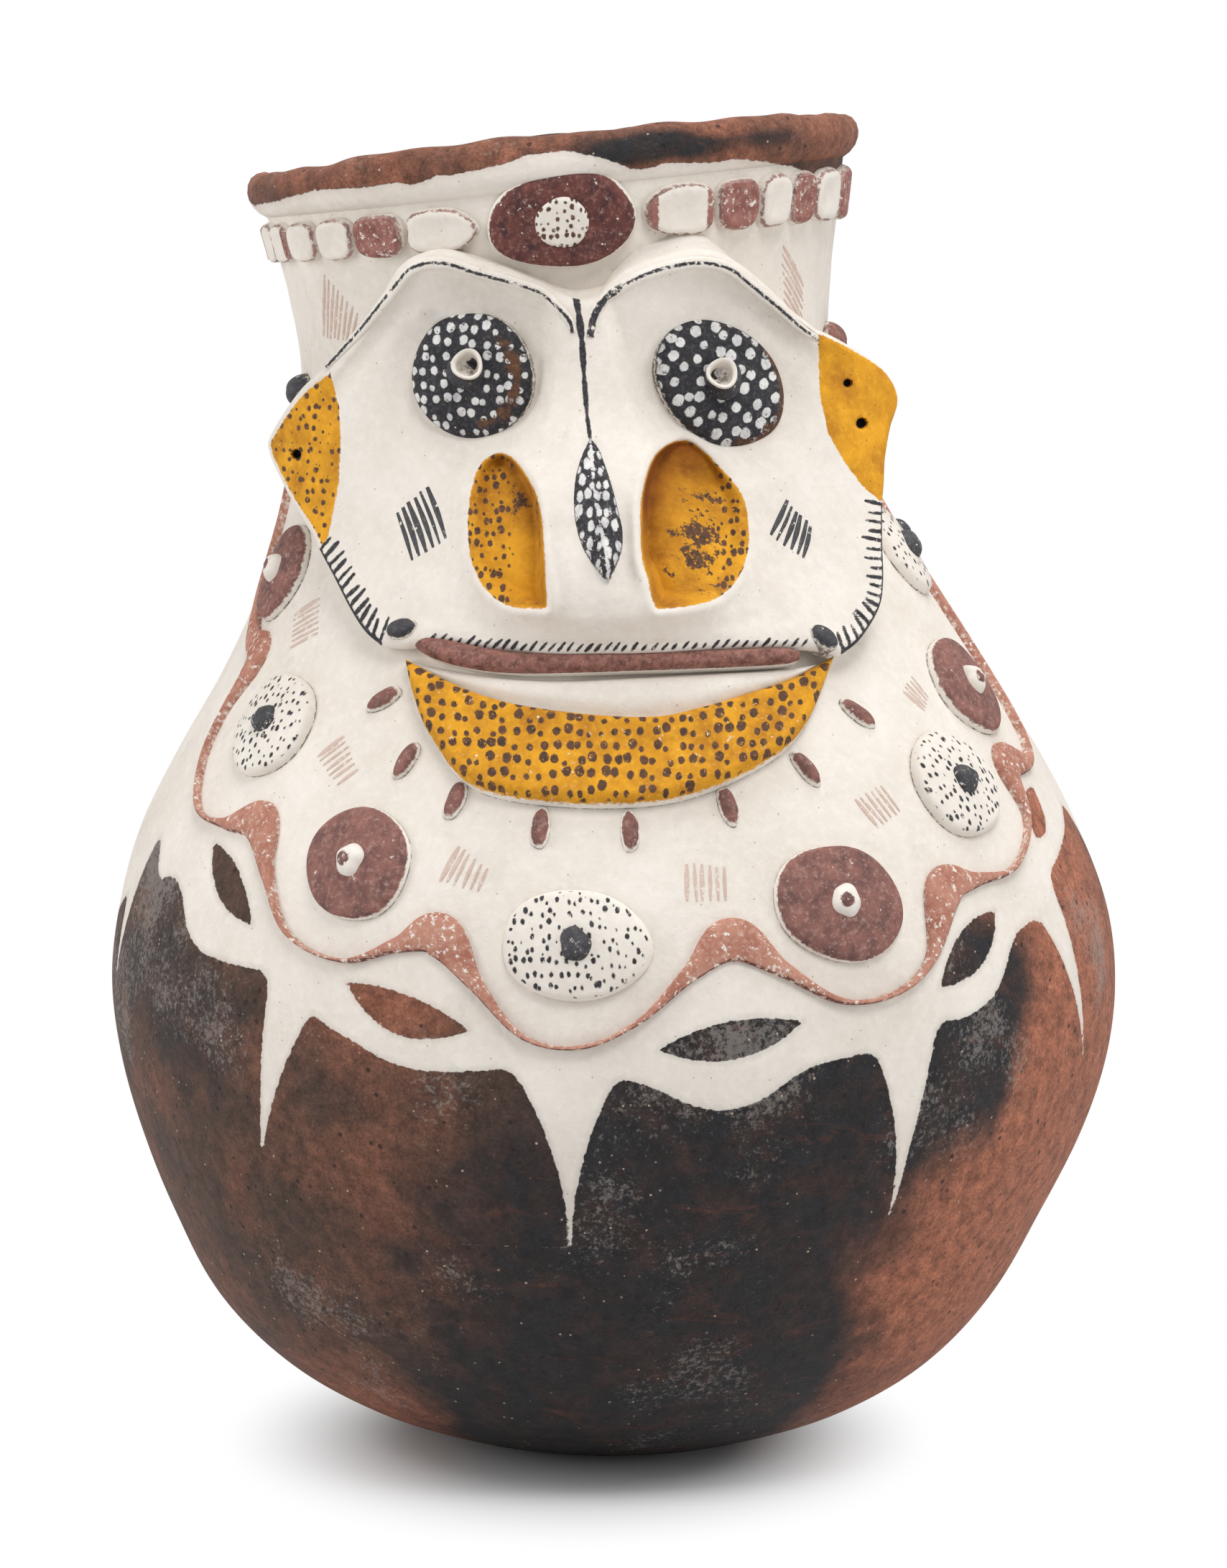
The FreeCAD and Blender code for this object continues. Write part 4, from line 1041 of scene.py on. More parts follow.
def faceLift(x, z):
    # How far the modelling stands out of the plain bowed slab
    share = (z - face["mouthHeight"]) / face["rise"]
    half = nose["halfWidth"] * np.interp(share, noseRows[:, 0], noseRows[:, 1])
    proud = nose["proud"] * np.interp(share, noseRows[:, 0], noseRows[:, 2], left=0, right=0)
    across = np.abs(x - faceMiddle(z)) / half
    bridge = smoothStep(500, 540, z)
    lift = proud * (1 - smoothStep(0.35 + 0.25 * bridge, 1.10 - 0.04 * bridge, across))
    # A hollow under each brow
    under = np.interp(x, *np.array(face["top"]).T) - z
    aside = smoothStep(16, 34, np.abs(x - faceMiddle(z)))
    fold = 1.2 * np.exp(-(((under - 3) / 4.0) ** 2)) - 1.5 * np.exp(-(((under - 15) / 8.0) ** 2))
    lift = lift + aside * fold
    for middleX, middleZ, inner, outer, depth in face["dishes"]:
        away = np.hypot(x - middleX, z - middleZ)
        lift = lift - depth * (1 - smoothStep(inner, outer, away))
    for outline, (outerX, innerX, shallow, deep) in zip(cupOutlines, (cup[1:] for cup in nose["cups"])):
        inside = insideOf(x, z, outline)
        inner = np.clip((x - outerX) / (innerX - outerX), 0, 1)
        high = np.clip((z - 455) / 65, 0, 1)
        amount = np.clip(0.1 + 0.85 * inner + 0.25 * high * inner, 0, 1)
        wall = 15 - 11 * np.clip(inner + 0.5 * high, 0, 1)
        lift = lift - (shallow + (deep - shallow) * amount) * smoothStep(-0.4, wall, inside)
        lift = lift + (1.0 + 1.9 * inner) * np.exp(-(((inside + 2.6) / 2.8) ** 2))
    lift = lift + 1.2 * np.exp(-(((z - np.interp(x, *np.array(face["bottom"]).T) - 4) / 4.0) ** 2))
    for holeX, holeZ, radius in face["holes"]:
        lift = lift - 9.0 * smoothStep(radius + 0.5, radius - 1.2, np.hypot(x - holeX, z - holeZ))
    hand = 0.5 * np.sin(x / 13 + z / 29) + 0.4 * np.sin(z / 11 - x / 37 + 1) + 0.3 * np.sin(x / 7 + z / 9 + 2)
    hand = hand + 0.22 * np.sin(x / 4.3 + z / 17) * np.sin(z / 5.1 - x / 23)
    # Never through to the neck
    return np.maximum(lift + 0.95 * hand, -9.5)


def plainFacePlace(x, z, out):
    # On the slab without its modelling, for what is laid under or over it
    depth, slant = faceBase(x, z)
    rise = (faceBase(x, z + 1)[0] - faceBase(x, z - 1)[0]) / 2
    normal = np.stack([slant, np.full(np.shape(x), -1.0), rise], -1)
    normal /= np.linalg.norm(normal, axis=-1, keepdims=True)
    return np.stack([x, depth + x * 0, z], -1) + normal * (np.asarray(out) + x * 0)[..., None]


def facePlace(x, z, out):
    return plainFacePlace(x, z, out) - np.stack([x * 0, faceLift(x, z), x * 0], -1)


def between(first, second, count, half):
    # Strokes laid side by side from one line to another
    strokes = []
    for stroke in range(count):
        share = (stroke + random.uniform(-0.12, 0.12)) / (count - 1)
        start = [a + (b - a) * share + random.uniform(-0.5, 0.5) for a, b in zip(*first)]
        end = [a + (b - a) * share + random.uniform(-0.5, 0.5) for a, b in zip(*second)]
        strokes.append((start[0], start[1], end[0], end[1], half * random.uniform(0.75, 1.25)))
    return strokes


def inwardFrom(spots):
    # Square to a line, on its left
    run = np.gradient(spots, axis=0)
    return np.stack([-run[:, 1], run[:, 0]], -1) / np.linalg.norm(run, axis=1, keepdims=True)


def edgeTicks(line, count, length, half, lean, start=0.6):
    # Short strokes inward from a painted edge
    strokes = []
    spots = smoothLine(line, count)
    for (x, z), (dx, dz) in zip(spots, inwardFrom(spots)):
        reach = start + (length - start) * random.uniform(0.75, 1.2)
        side = lean + random.uniform(-0.12, 0.12)
        tip = (x + reach * (dx - dz * side), z + reach * (dz + dx * side))
        strokes.append((x + dx * start, z + dz * start, tip[0], tip[1], half * random.uniform(0.8, 1.2)))
    return strokes


def edgeLine(line, count, inset, half):
    spots = smoothLine(line, count)
    spots = spots + inwardFrom(spots) * inset
    return [(a[0], a[1], b[0], b[1], half) for a, b in zip(spots, spots[1:])]


jawLeft = ((-113, 430), (-121, 436), (-128, 445), (-137, 460), (-144, 471))[::-1]
jawRight = ((111, 426), (120, 432), (129, 444), (131.5, 456), (131.5, 474), (132, 492))
cheekStrokes = (
    between(((-91.8, 503.2), (-106.6, 490.0)), ((-82.0, 478.5), (-98.1, 467.8)), 6, 1.15)
    + between(((85.6, 496), (96.8, 483.4)), ((77, 479.4), (93.2, 468)), 6, 1.15)
)
blackStrokes = (
    edgeLine(jawLeft, 26, -3.0, 2.1) + edgeTicks(jawLeft, 13, 8.6, 0.95, 0.35, -2.0)
    + edgeLine(jawRight, 30, -3.2, 2.0) + edgeTicks(jawRight, 18, 7.2, 0.9, -0.3, -2.4)
    + edgeTicks(((-90, 429), (-64, 427.5), (-39, 426.5), (0, 427)), 21, 4.6, 0.8, -0.75)
    + edgeTicks(((4, 427), (34, 427.6), (67, 427.6), (92, 427)), 19, 3.8, 0.8, -0.7)
    + [(-19, 600, -16.9, 588, 1.7), (-16.9, 588, -15.4, 576, 1.9), (-15.4, 576, -14.4, 560, 1.6),
       (-14.4, 560, -13, 540, 1.3), (-13, 540, -11.2, 528, 1.1)]
)


def faceMaterial():
    material, tree, place = startMaterial("modelledFaceSlip")
    coat, height = whiteSlip(tree, place)
    ochre, black, dotted, rubbed, paintedCupShade = (
        addNode(tree, "Attribute", {}, "Fac", attribute_name=name)
        for name in ("ochre", "black", "dabs", "rubbed", "paintedCupShade")
    )
    coat = layPaint(tree, place, coat, ochre, "ochre", 0.74, 0.3, 0.5)
    # Painted shade in the nostril cups: the ochre is multiplied darker towards their deep corners
    thick = addNode(
        tree, "Mix", {0: 1.0, 6: coat, 7: colourOf("#8E5C28")}, 2, data_type="RGBA", blend_type="MULTIPLY",
    )
    coat = addNode(tree, "Mix", {0: paintedCupShade, 6: coat, 7: thick}, 2, data_type="RGBA")
    # Dabs on the ochre where they are laid on, then the places rubbed through to the clay
    reach = addNode(tree, "Math", (dotted, 3.0, -3.0), operation="MULTIPLY_ADD")
    dabs = addNode(tree, "Math", (dotDepth(tree, 4.3, 0.6, 1.7, 1.2, 0.8), reach), operation="ADD")
    dabs = addNode(tree, "Math", (dabs, ochre), operation="MINIMUM")
    coat = layPaint(tree, place, coat, dabs, "umber", 0.66, 0.3)
    patches = addNode(tree, "TexNoise", {"Vector": place, "Scale": 1 / 11, "Detail": 7, "Roughness": 0.72})
    depth = addNode(tree, "Math", (patches, 52.0, -35.0), operation="MULTIPLY_ADD")
    depth = addNode(tree, "Math", (rubbed, 9.0, depth), operation="MULTIPLY_ADD")
    depth = addNode(tree, "Math", (depth, ochre), operation="MINIMUM")
    coat = layPaint(tree, place, coat, depth, "umber", 0.6, 0.5)
    coat = layPaint(tree, place, coat, black, "black", 0.67, 0.3, 0.3)
    endMaterial(tree, coat, slip["roughness"], height, 0.3)
    return material


def modelFace():
    columns, rows = face["columns"], face["rows"]
    top, bottom = smoothLine(face["top"], columns + 1), smoothLine(face["bottom"], columns + 1)
    left, right = smoothLine(face["left"], rows + 1), smoothLine(face["right"], rows + 1)
    loop = np.vstack([bottom[:-1], right[:-1], top[::-1][:-1], left[::-1][:-1]])
    tangent = np.roll(loop, -2, 0) - np.roll(loop, 2, 0)
    outward = np.stack([tangent[:, 1], -tangent[:, 0]], -1)
    outward /= np.linalg.norm(outward, axis=1, keepdims=True)
    # Rings beyond the outline: over the edge, down the side, and back behind to the middle
    rolled, sided, backed = 6, 7, 7
    beyond = rolled + sided + backed
    wide, tall = columns + 2 * beyond, rows + 2 * beyond

    def lay(across, up):
        i = np.rint(across * wide).astype(int) - beyond
        j = np.rint(up * tall).astype(int) - beyond
        inColumn, inRow = np.clip(i, 0, columns), np.clip(j, 0, rows)
        over = np.maximum(np.abs(i - inColumn), np.abs(j - inRow))
        u, v = inColumn / columns, inRow / rows
        flat = (
            (1 - v)[:, None] * bottom[inColumn] + v[:, None] * top[inColumn]
            + (1 - u)[:, None] * left[inRow] + u[:, None] * right[inRow]
            - ((1 - u) * (1 - v))[:, None] * bottom[0] - (u * (1 - v))[:, None] * bottom[-1]
            - ((1 - u) * v)[:, None] * top[0] - (u * v)[:, None] * top[-1]
        )
        where = np.where(inRow == 0, inColumn, np.where(inColumn == columns, columns + inRow, 0))
        where = np.where(inRow == rows, 2 * columns + rows - inColumn, where)
        where = np.where((inColumn == 0) & (inRow > 0) & (inRow < rows), 2 * (columns + rows) - inRow, where)
        where = where % len(loop)
        x, z = flat[:, 0], flat[:, 1]
        front = facePlace(x, z, x * 0)
        # The edge's own directions
        out2 = outward[where]
        slant = faceBase(x, z)[1]
        away = np.stack([out2[:, 0], slant * out2[:, 0], out2[:, 1]], -1)
        away /= np.linalg.norm(away, axis=1, keepdims=True)
        back = np.stack([-slant, np.ones(len(x)), x * 0], -1)
        back /= np.linalg.norm(back, axis=1, keepdims=True)
        roll = face["roll"]
        angle = np.clip(over / rolled, 0, 1) * math.pi / 2
        rolledPoint = front + away * (roll * np.sin(angle))[:, None]
        rolledPoint = rolledPoint + back * (roll * (1 - np.cos(angle)))[:, None]
        # Foot of the side on the neck
        radius, lean = profileAt(z)[:2]
        bearing = np.degrees(np.arctan2(front[:, 0] - lean, -front[:, 1]))
        stand = np.hypot(front[:, 0] - lean, front[:, 1]) - radius
        footAngle = bearing * (1 + 0.35 * np.clip(stand - 13, 0, 60) / 60) + 0.05 * out2[:, 0]
        footHeight = z + out2[:, 1] * np.where(out2[:, 1] > 0, 9, 1)
        foot = wallAt(footAngle, footHeight, x * 0 - 1.5)
        part = np.clip((over - rolled) / sided, 0, 1)[:, None]
        first = rolledPoint + back * (0.35 * np.clip(stand, 0, 26))[:, None]
        second = foot + (rolledPoint - foot) * 0.25 - back * (0.1 * np.clip(stand, 0, 40))[:, None]
        sidePoint = (
            (1 - part) ** 3 * rolledPoint + 3 * (1 - part) ** 2 * part * first
            + 3 * (1 - part) * part ** 2 * second + part ** 3 * foot
        )
        # Behind, within the neck's own thickness
        close = np.clip((over - rolled - sided) / backed, 0, 1)
        backAngle = footAngle * (1 - close) + (-2) * close
        backHeight = footHeight * (1 - close) + 520 * close
        backPoint = wallAt(backAngle, backHeight, x * 0 - 1.5 - 3 * np.clip(close * 4, 0, 1))
        points = np.where((over <= rolled)[:, None], rolledPoint, sidePoint)
        points = np.where((over > rolled + sided)[:, None], backPoint, points)
        points = np.where((over == 0)[:, None], front, points)
        past = np.where(over > 0, roll * np.sin(angle), 0)
        edgeInside = np.where(over == 0, insideOf(x, z, loop[::3]), -past)
        ears = np.maximum(
            np.minimum(insideOf(x, z, np.array(face["leftEar"], float)), edgeInside - 0.5),
            np.minimum(insideOf(x, z, np.array(face["rightEar"], float)), edgeInside + 2.5),
        )
        cups = [insideOf(x, z, outline) for outline in cupOutlines]
        ochre = np.where(over <= rolled, ears, -9)
        ochre = np.where(over == 0, np.maximum(ochre, np.maximum(*cups)), ochre)
        black = strokeDepth(x + out2[:, 0] * past, z + out2[:, 1] * past, blackStrokes)
        black = np.where(over < rolled, black, -9)
        hole = np.full(len(x), -9.0)
        for holeX, holeZ, size in face["holes"]:
            hole = np.maximum(hole, size - 0.3 - np.hypot(x - holeX, z - holeZ))
        black = np.maximum(black, hole)
        outerLeft = (1 - smoothStep(-52, -44, x)) * (cups[0] > -1)
        outerRight = smoothStep(46, 53, x) * (cups[1] > -1)
        dabs = 0.87 * (x < -130) + 0.47 * (x > 98) + outerLeft + outerRight
        rubbed = 1.5 * np.exp(-(((x - 42) / 12) ** 2) - ((z - 478) / 27) ** 2)
        rubbed = rubbed + 1.0 * np.exp(-(((x + 44) / 10) ** 2) - ((z - 497) / 10) ** 2)
        # Painted shade: the ochre is darkened in the deep inner and upper corner of each cup
        paintedCupShade = 0.0
        for (outerX, innerX), inside in zip((cup[1:3] for cup in nose["cups"]), cups):
            inner = np.clip((x - outerX) / (innerX - outerX), 0, 1)
            high = np.clip((z - 478) / 34, 0, 1)
            corner = np.clip(0.55 * inner ** 1.5 + high * inner ** 0.5, 0, 1) * (0.7 if outerX < 0 else 1.0)
            paintedCupShade = paintedCupShade + smoothStep(0.2, 1.6, inside) * np.exp(-np.maximum(inside, 0) / 24) * corner
        layers = {
            "ochre": ochre, "black": black, "dabs": np.clip(dabs, 0, 1), "rubbed": rubbed, "paintedCupShade": paintedCupShade,
            "flat": np.stack([x, z, x * 0], -1),
        }
        return points, layers

    piece = wrappedPiece("face_clay", wide, tall, lay)
    return finishPiece(piece, ["face_plate", "nose", "ear_left", "ear_right"], faceMaterial(), 70)


modelFace()
made = []
for startX, startZ, endX, endZ, half in cheekStrokes:
    middleX, middleZ = (startX + endX) / 2 + 0.4, (startZ + endZ) / 2
    rows = (
        (startX, startZ, half * 0.75, 0.3), (middleX, middleZ, half * 1.15, 0.35),
        (endX, endZ, half * 0.6, 0.3),
    )
    stroke = coilPiece("stroke", rows, facePlace, along=30, around=8, sunk=0.8, flatness=0.6)
    keepOnVertices(stroke, paint=valuesOf(stroke, "edge") + 0.55, foot=5.0)
    made.append(stroke)
finishPiece(joined("cheek_strokes_paint", made), [], blackMaterial)
print("face modelled")

# On the face: brows, eyes, the nose's keel and the mouth
def onFace(x, z, lift, turn=0.0, forward=0.0):
    # A rigid seat on the slab for what is pressed on it
    origin = plainFacePlace(np.array([float(x)]), np.array([float(z)]), lift)[0]
    across = plainFacePlace(np.array([x + 1.0]), np.array([float(z)]), 0)[0]
    across = across - plainFacePlace(np.array([x - 1.0]), np.array([float(z)]), 0)[0]
    rising = plainFacePlace(np.array([float(x)]), np.array([z + 1.0]), 0)[0]
    rising = rising - plainFacePlace(np.array([float(x)]), np.array([z - 1.0]), 0)[0]
    normal = np.cross(across, rising)
    normal /= np.linalg.norm(normal)
    # Pressed more squarely forward than the slab, where asked
    normal = normal * (1 - forward) + np.array([0.0, -1.0, 0.36]) * forward
    normal /= np.linalg.norm(normal)
    across = across - normal * (across @ normal)
    across = across / np.linalg.norm(across)
    upward = np.cross(normal, across)
    spin = math.radians(turn)

    def place(sideways, up, out):
        first = sideways * math.cos(spin) - up * math.sin(spin)
        second = sideways * math.sin(spin) + up * math.cos(spin)
        return origin + first[:, None] * across + second[:, None] * upward + out[:, None] * normal

    return place


brows = {
    "left": ((-142, 560, 1.2, 0.8), (-124, 579, 2.6, 1.6), (-110, 596, 3.0, 1.9), (-98, 609.5, 3.0, 2.0),
             (-83, 612.5, 3.0, 2.0), (-67, 608, 2.8, 1.9), (-50, 603.5, 2.7, 1.8), (-36, 599, 2.4, 1.6),
             (-28, 592.5, 2.2, 1.4), (-21.5, 585, 1.8, 1.2), (-19.8, 579, 1.4, 0.8)),
    "right": ((-11.3, 577, 2.0, 1.0), (-9.9, 585, 2.2, 1.2), (-6.5, 592, 2.4, 1.4), (-1, 598, 2.6, 1.7),
              (13, 606, 2.8, 1.9), (29, 611, 3.0, 2.0), (43, 612.5, 3.0, 2.0), (56, 609.5, 3.0, 2.0),
              (66, 602, 2.8, 1.9), (80, 590.5, 2.6, 1.7), (92, 580, 2.2, 1.4), (101, 574, 1.2, 0.8)),
    "lift": 0.1,
}
for side in ("left", "right"):
    brow = coilPiece(
        "brow_ridge_" + side + "_clay", brows[side], lambda x, z, out: facePlace(x, z, out + brows["lift"]),
        along=240, around=20, sunk=2.5,
    )
    x = getPoints(brow)[:, 0]
    crestWidth = 0.75 + (1.0 if side == "right" else 0.2) * smoothStep(-34, -16, x)
    crestWidth = np.where(x > 4, 0.75, crestWidth)
    keepOnVertices(brow, paint=crestWidth - np.abs(valuesOf(brow, "aside")), foot=5.0)
    finishPiece(brow, ["brow_ridge_" + side], wornBlackMaterial)

fineDisc = discTemplate(22, 96)
smallDisc = discTemplate(12, 48)


def domeForm(edgeHeight, edgeRadius, proud, dish=0.0):
    def form(share, inward, across, up):
        crown = edgeHeight + (proud - edgeHeight) * (1 - share ** 2) - dish * np.exp(-((share / 0.6) ** 2))
        return crown * softEdge(inward, edgeRadius)

    return form


eyes = {
    # place, half width and height, turn, tube place on the face
    "left": (-71.2, 557.0, 31.5, 31.5, 0, -72.5, 558.5),
    "right": (54.4, 553.8, 36.5, 29.0, -38, 54.5, 554.5),
    "sunk": -8.5,
    "proud": 10.0,
    # where its black is rubbed to brown: share of the radius, then where the arc begins and ends
    "rubbed": {"left": (0.78, -95, -60, 35, 75), "right": (0.96, -60, -30, 60, 90)},
    "tube": (
        (0, 1.6), (3.2, 1.7), (4.8, 2.6), (5.4, 5.5), (5.8, 8.7), (6.4, 9.9), (7.2, 10.1), (7.7, 9.3),
        (7.8, 7.6), (7.9, 3.6), (9.0, 0.8), (11.0, -0.8), (11.0, -3.0), (0, -3.0),
    ),
}
for side in ("left", "right"):
    x, z, halfWidth, halfHeight, turn, tubeX, tubeZ = eyes[side]
    seat = onFace(x, z, eyes["sunk"], turn)
    disc, across, up, inward = thumbed(
        "eye_disc_" + side + "_clay", fineDisc, seat, halfWidth, halfHeight, domeForm(5.0, 4.5, eyes["proud"]),
        sink=3.0, wobble=0.02,
    )
    share, turned = np.hypot(across / halfWidth, up / halfHeight), np.degrees(np.arctan2(up, across))
    middle, first, full, fading, last = eyes["rubbed"][side]
    arc = smoothStep(first, full, turned) * (1 - smoothStep(fading, last, turned))
    keepOnVertices(disc, paint=inward - 0.3, rubbed=arc * np.exp(-(((share - middle) / 0.10) ** 2)))
    finishPiece(disc, ["eye_disc_" + side], eyeMaterials[side])
    tube = spunPiece("eye_tube_" + side + "_clay", eyes["tube"], 48, False)
    points = getPoints(tube)
    wave = 1 + 0.05 * np.sin(3 * np.arctan2(points[:, 1], points[:, 0]) + len(side))
    level = points[:, 2] + eyes["proud"] - 0.9
    outside = np.hypot(points[:, 0], points[:, 1]) > 6.9
    # Painted shade lies grey in its bottom, black runs up its outside
    boreShade = np.where(outside, 5.0, 0.45 + (points[:, 2] - 1.4) * 0.5)
    keepOnVertices(tube, foot=boreShade, paint=np.where(outside, 8.6 - points[:, 2], -5.0))
    seat = onFace(tubeX, tubeZ, eyes["sunk"], 0, 0.75)
    setPoints(tube, seat(points[:, 0] * wave, points[:, 1] * wave, level))
    finishPiece(tube, ["eye_tube_" + side], blackMaterial, 60)
print("eyes set in")

keel = {
    "left": ((-11.3, 529), (-15.7, 520), (-18.4, 511), (-19.4, 499.5), (-18.3, 488), (-15, 477.5), (-9, 468),
             (-2.5, 460)),
    "right": ((-11.3, 529), (-7.2, 524), (-3.7, 515.7), (-0.3, 505.4), (2.7, 494), (4.6, 485), (3.7, 474.5),
              (-2.5, 460)),
    "proud": 9.5,
    # height and x along its worn crest
    "crest": ((460, -2.5), (470, -2.5), (485, -5.5), (505, -9.5), (529, -11.3)),
}


def keelForm(x, z, inward, share):
    crest = 1 - np.abs(2 * share - 1) ** 1.15
    along = np.clip((z - 458) / 70, 0, 1)
    swell = smoothStep(0.0, 0.16, along) * (1 - smoothStep(0.35, 1.0, along) * 0.8)
    return -0.6 + keel["proud"] * crest * swell + 0.8 * softEdge(inward, 1.5)


ridge = bandPiece("nose_ridge_clay", keel["left"], keel["right"], 90, 26, facePlace, keelForm, sink=3.0)
points = getPoints(ridge)
crest = np.interp(points[:, 2], *np.array(keel["crest"]).T)
rubbed = 0.95 * np.exp(-(((points[:, 0] - crest) / 1.2) ** 2))
keepOnVertices(ridge, paint=valuesOf(ridge, "edge") - 0.2, foot=5.0, rubbed=rubbed)
finishPiece(ridge, ["nose_ridge"], ridgeMaterial, 60)

mouth = {
    # x, z, half height, rise
    "upper": ((-98, 430.5, 1.8, 2.0), (-92, 429, 4.2, 5.0), (-81, 426.5, 5.4, 6.0), (-64, 423.7, 5.4, 6.0),
              (-46, 422.4, 4.9, 6.0), (-20, 422.6, 4.3, 6.0), (1, 423.2, 4.1, 6.0), (34, 423.9, 4.0, 5.8),
              (67, 424.4, 4.0, 5.6), (84, 424.5, 3.6, 5.0), (91, 424.7, 2.4, 3.0)),
    "upperLift": -4.2,
    "lowerTop": ((-104, 423), (-90, 422), (-64, 419.5), (-39, 418.5), (1, 419.5), (34, 421),
                 (67, 421.5), (90, 422), (106, 423)),
    "lowerBottom": ((-104, 423), (-92, 413), (-66, 402), (-29, 395), (13, 390.5), (60, 399),
                    (92, 412), (106, 423)),
}
lipPiece = coilPiece(
    "upper_lip_clay", mouth["upper"], lambda x, z, out: plainFacePlace(x, z, out + mouth["upperLift"]),
    along=260, around=28, sunk=9.0, flatness=0.55,
)
keepOnVertices(lipPiece, paint=valuesOf(lipPiece, "edge") + 0.4, foot=5.0)
finishPiece(lipPiece, ["upper_lip"], lipMaterial, 60)


def lowerLipForm(x, z, inward, share):
    # Fullest just under the red strip, drawn in towards the chin
    full = smoothStep(0.0, 0.62, share) * (1 - 0.25 * smoothStep(0.8, 1.0, share))
    hand = 0.5 * np.sin(x / 9 + 1) + 0.4 * np.sin(x / 17)
    return -14 + (9.5 + hand) * full * softEdge(inward, 7)


lowerLip = bandPiece(
    "lower_lip_clay", mouth["lowerBottom"], mouth["lowerTop"], 200, 26, plainFacePlace, lowerLipForm, sink=22.0,
)
keepOnVertices(lowerLip, paint=-5.0, foot=5.0)
finishPiece(lowerLip, ["lower_lip"], whiteMaterial, 60)

for side, x, z, turn in (("left", -103, 435, 12), ("right", 102, 431, -38)):
    corner, across, up, inward = thumbed(
        "mouth_corner_" + side + "_clay", smallDisc, onFace(x, z, 0.0, turn), 8.5, 5.6, domeForm(2.5, 2.5, 5.0),
        sink=8.0,
    )
    keepOnVertices(corner, paint=inward - 0.5)
    finishPiece(corner, ["mouth_corner_" + side], blackMaterial)
print("mouth made")

# Chin crescent and its pellets
crescent = {
    "proud": 11.0,
    "roll": 5.0,
    # shares across and up, as the face is measured
    "top": ((-0.67, -0.03), (-0.45, -0.106), (-0.23, -0.144), (0.09, -0.164), (0.26, -0.142), (0.41, -0.113),
            (0.56, -0.080), (0.71, -0.03)),
    "bottom": ((-0.67, -0.03), (-0.65, -0.12), (-0.605, -0.22), (-0.48, -0.335), (-0.19, -0.372),
               (0.15, -0.363), (0.43, -0.29), (0.59, -0.20), (0.71, -0.03)),
    "halfWidth": 150.1,
}


def fromShares(rows):
    found = []
    for across, up in rows:
        z = face["mouthHeight"] + face["rise"] * up
        found.append((float(faceMiddle(z)) + crescent["halfWidth"] * across, z))
    return found


def crescentForm(x, z, inward, share):
    hand = 0.35 * np.sin(x / 8 + z / 13) + 0.3 * np.sin(x / 21 - z / 7)
    return (crescent["proud"] - 0.8 + hand) * softEdge(inward, crescent["roll"])


chin = bandPiece(
    "chin_crescent_clay", fromShares(crescent["bottom"]), fromShares(crescent["top"]), 220, 64, wallFront,
    crescentForm, sink=3.0,
)
keepOnVertices(chin, paint=valuesOf(chin, "edge") - 0.6)
finishPiece(chin, ["chin_crescent"], crescentMaterial, 60)

pellets = {
    "halfLength": 10.6,
    "halfWidth": 4.8,
    "proud": 4.5,
    "drop": 3.0,
    "rows": ((-32.5, 0.623, -52), (-26.5, 0.581, -22), (-18.8, 0.555, -12), (-8.0, 0.537, -4), (2.6, 0.535, 0),
             (14.8, 0.551, 10), (26.3, 0.575, 24), (37.5, 0.611, 42)),
}
made = []
for angle, share, turn in pellets["rows"]:
    pellet, across, up, inward = thumbed(
        "pellet", smallDisc, onWall(angle, jar["seatHeight"] * share - pellets["drop"], turn),
        pellets["halfWidth"], pellets["halfLength"], domeForm(2.6, 2.4, pellets["proud"]),
        sink=4.0, power=2.2, wobble=0.05,
    )
    keepOnVertices(pellet, paint=inward - 0.7)
    made.append(pellet)
finishPiece(joined("chin_pellets_clay", made), ["chin_pellets"], redMaterial)
print("chin made")

# Band of pads and the medallion under the lip
band = {
    "height": 24.0,
    "proud": 6.0,
    "crease": 0.4,
    "drop": 15.0,
    # angle, cover, paint: none, all or both ends, and how far its end towards the medallion is pointed
    "left": ((-70.0, 10.0, 2, 0), (-59.2, 11.0, 0, 0), (-47.6, 10.8, 0, 0), (-36.0, 12.0, 1, 0),
             (-22.0, 15.4, 0, 0.8)),
    "right": ((24.9, 15.8, 2, -0.5), (38.1, 10.3, 1, 0), (48.0, 9.2, 0, 0), (57.2, 9.0, 1, 0)),
    "back": tuple((68.0 + 12.5 * index, 12.5, 1 if index % 3 == 1 else 0, 0) for index in range(18)),
}
for side in ("left", "right", "back"):
    made = []
    for angle, cover, colour, pointed in band[side]:
        height = jar["seatHeight"] - band["drop"]
        half = (float(profileAt(height)[0]) * math.radians(cover) - band["crease"]) / 2
        seat = onWall(angle, height)

        def padPlace(across, up, out):
            # Drawn to a point at one end
            narrow = np.clip(across / half * np.sign(pointed) - 0.1, 0, 1) ** 2 * abs(pointed)
            return seat(across, up * (1 - narrow), out)

        padPiece, across, up, inward = thumbed(
            "pad", smallDisc, padPlace, half, band["height"] / 2,
            domeForm(band["proud"], 3.6, band["proud"] + 0.2, 2.0), sink=4.0, power=3.2, wobble=0.03,
        )
        stain = inward - 1.0 if colour == 1 else np.full(len(across), -4.0)
        if colour == 2:
            stain = np.minimum(np.abs(across) - 0.66 * half, inward - 0.9)
        keepOnVertices(padPiece, stain=stain, paint=0.5 - np.abs(inward - 1.0))
        made.append(padPiece)
    pads = joined("band_pads_" + side + "_clay", made)
    finishPiece(pads, ["band_pads_" + side], padMaterial)

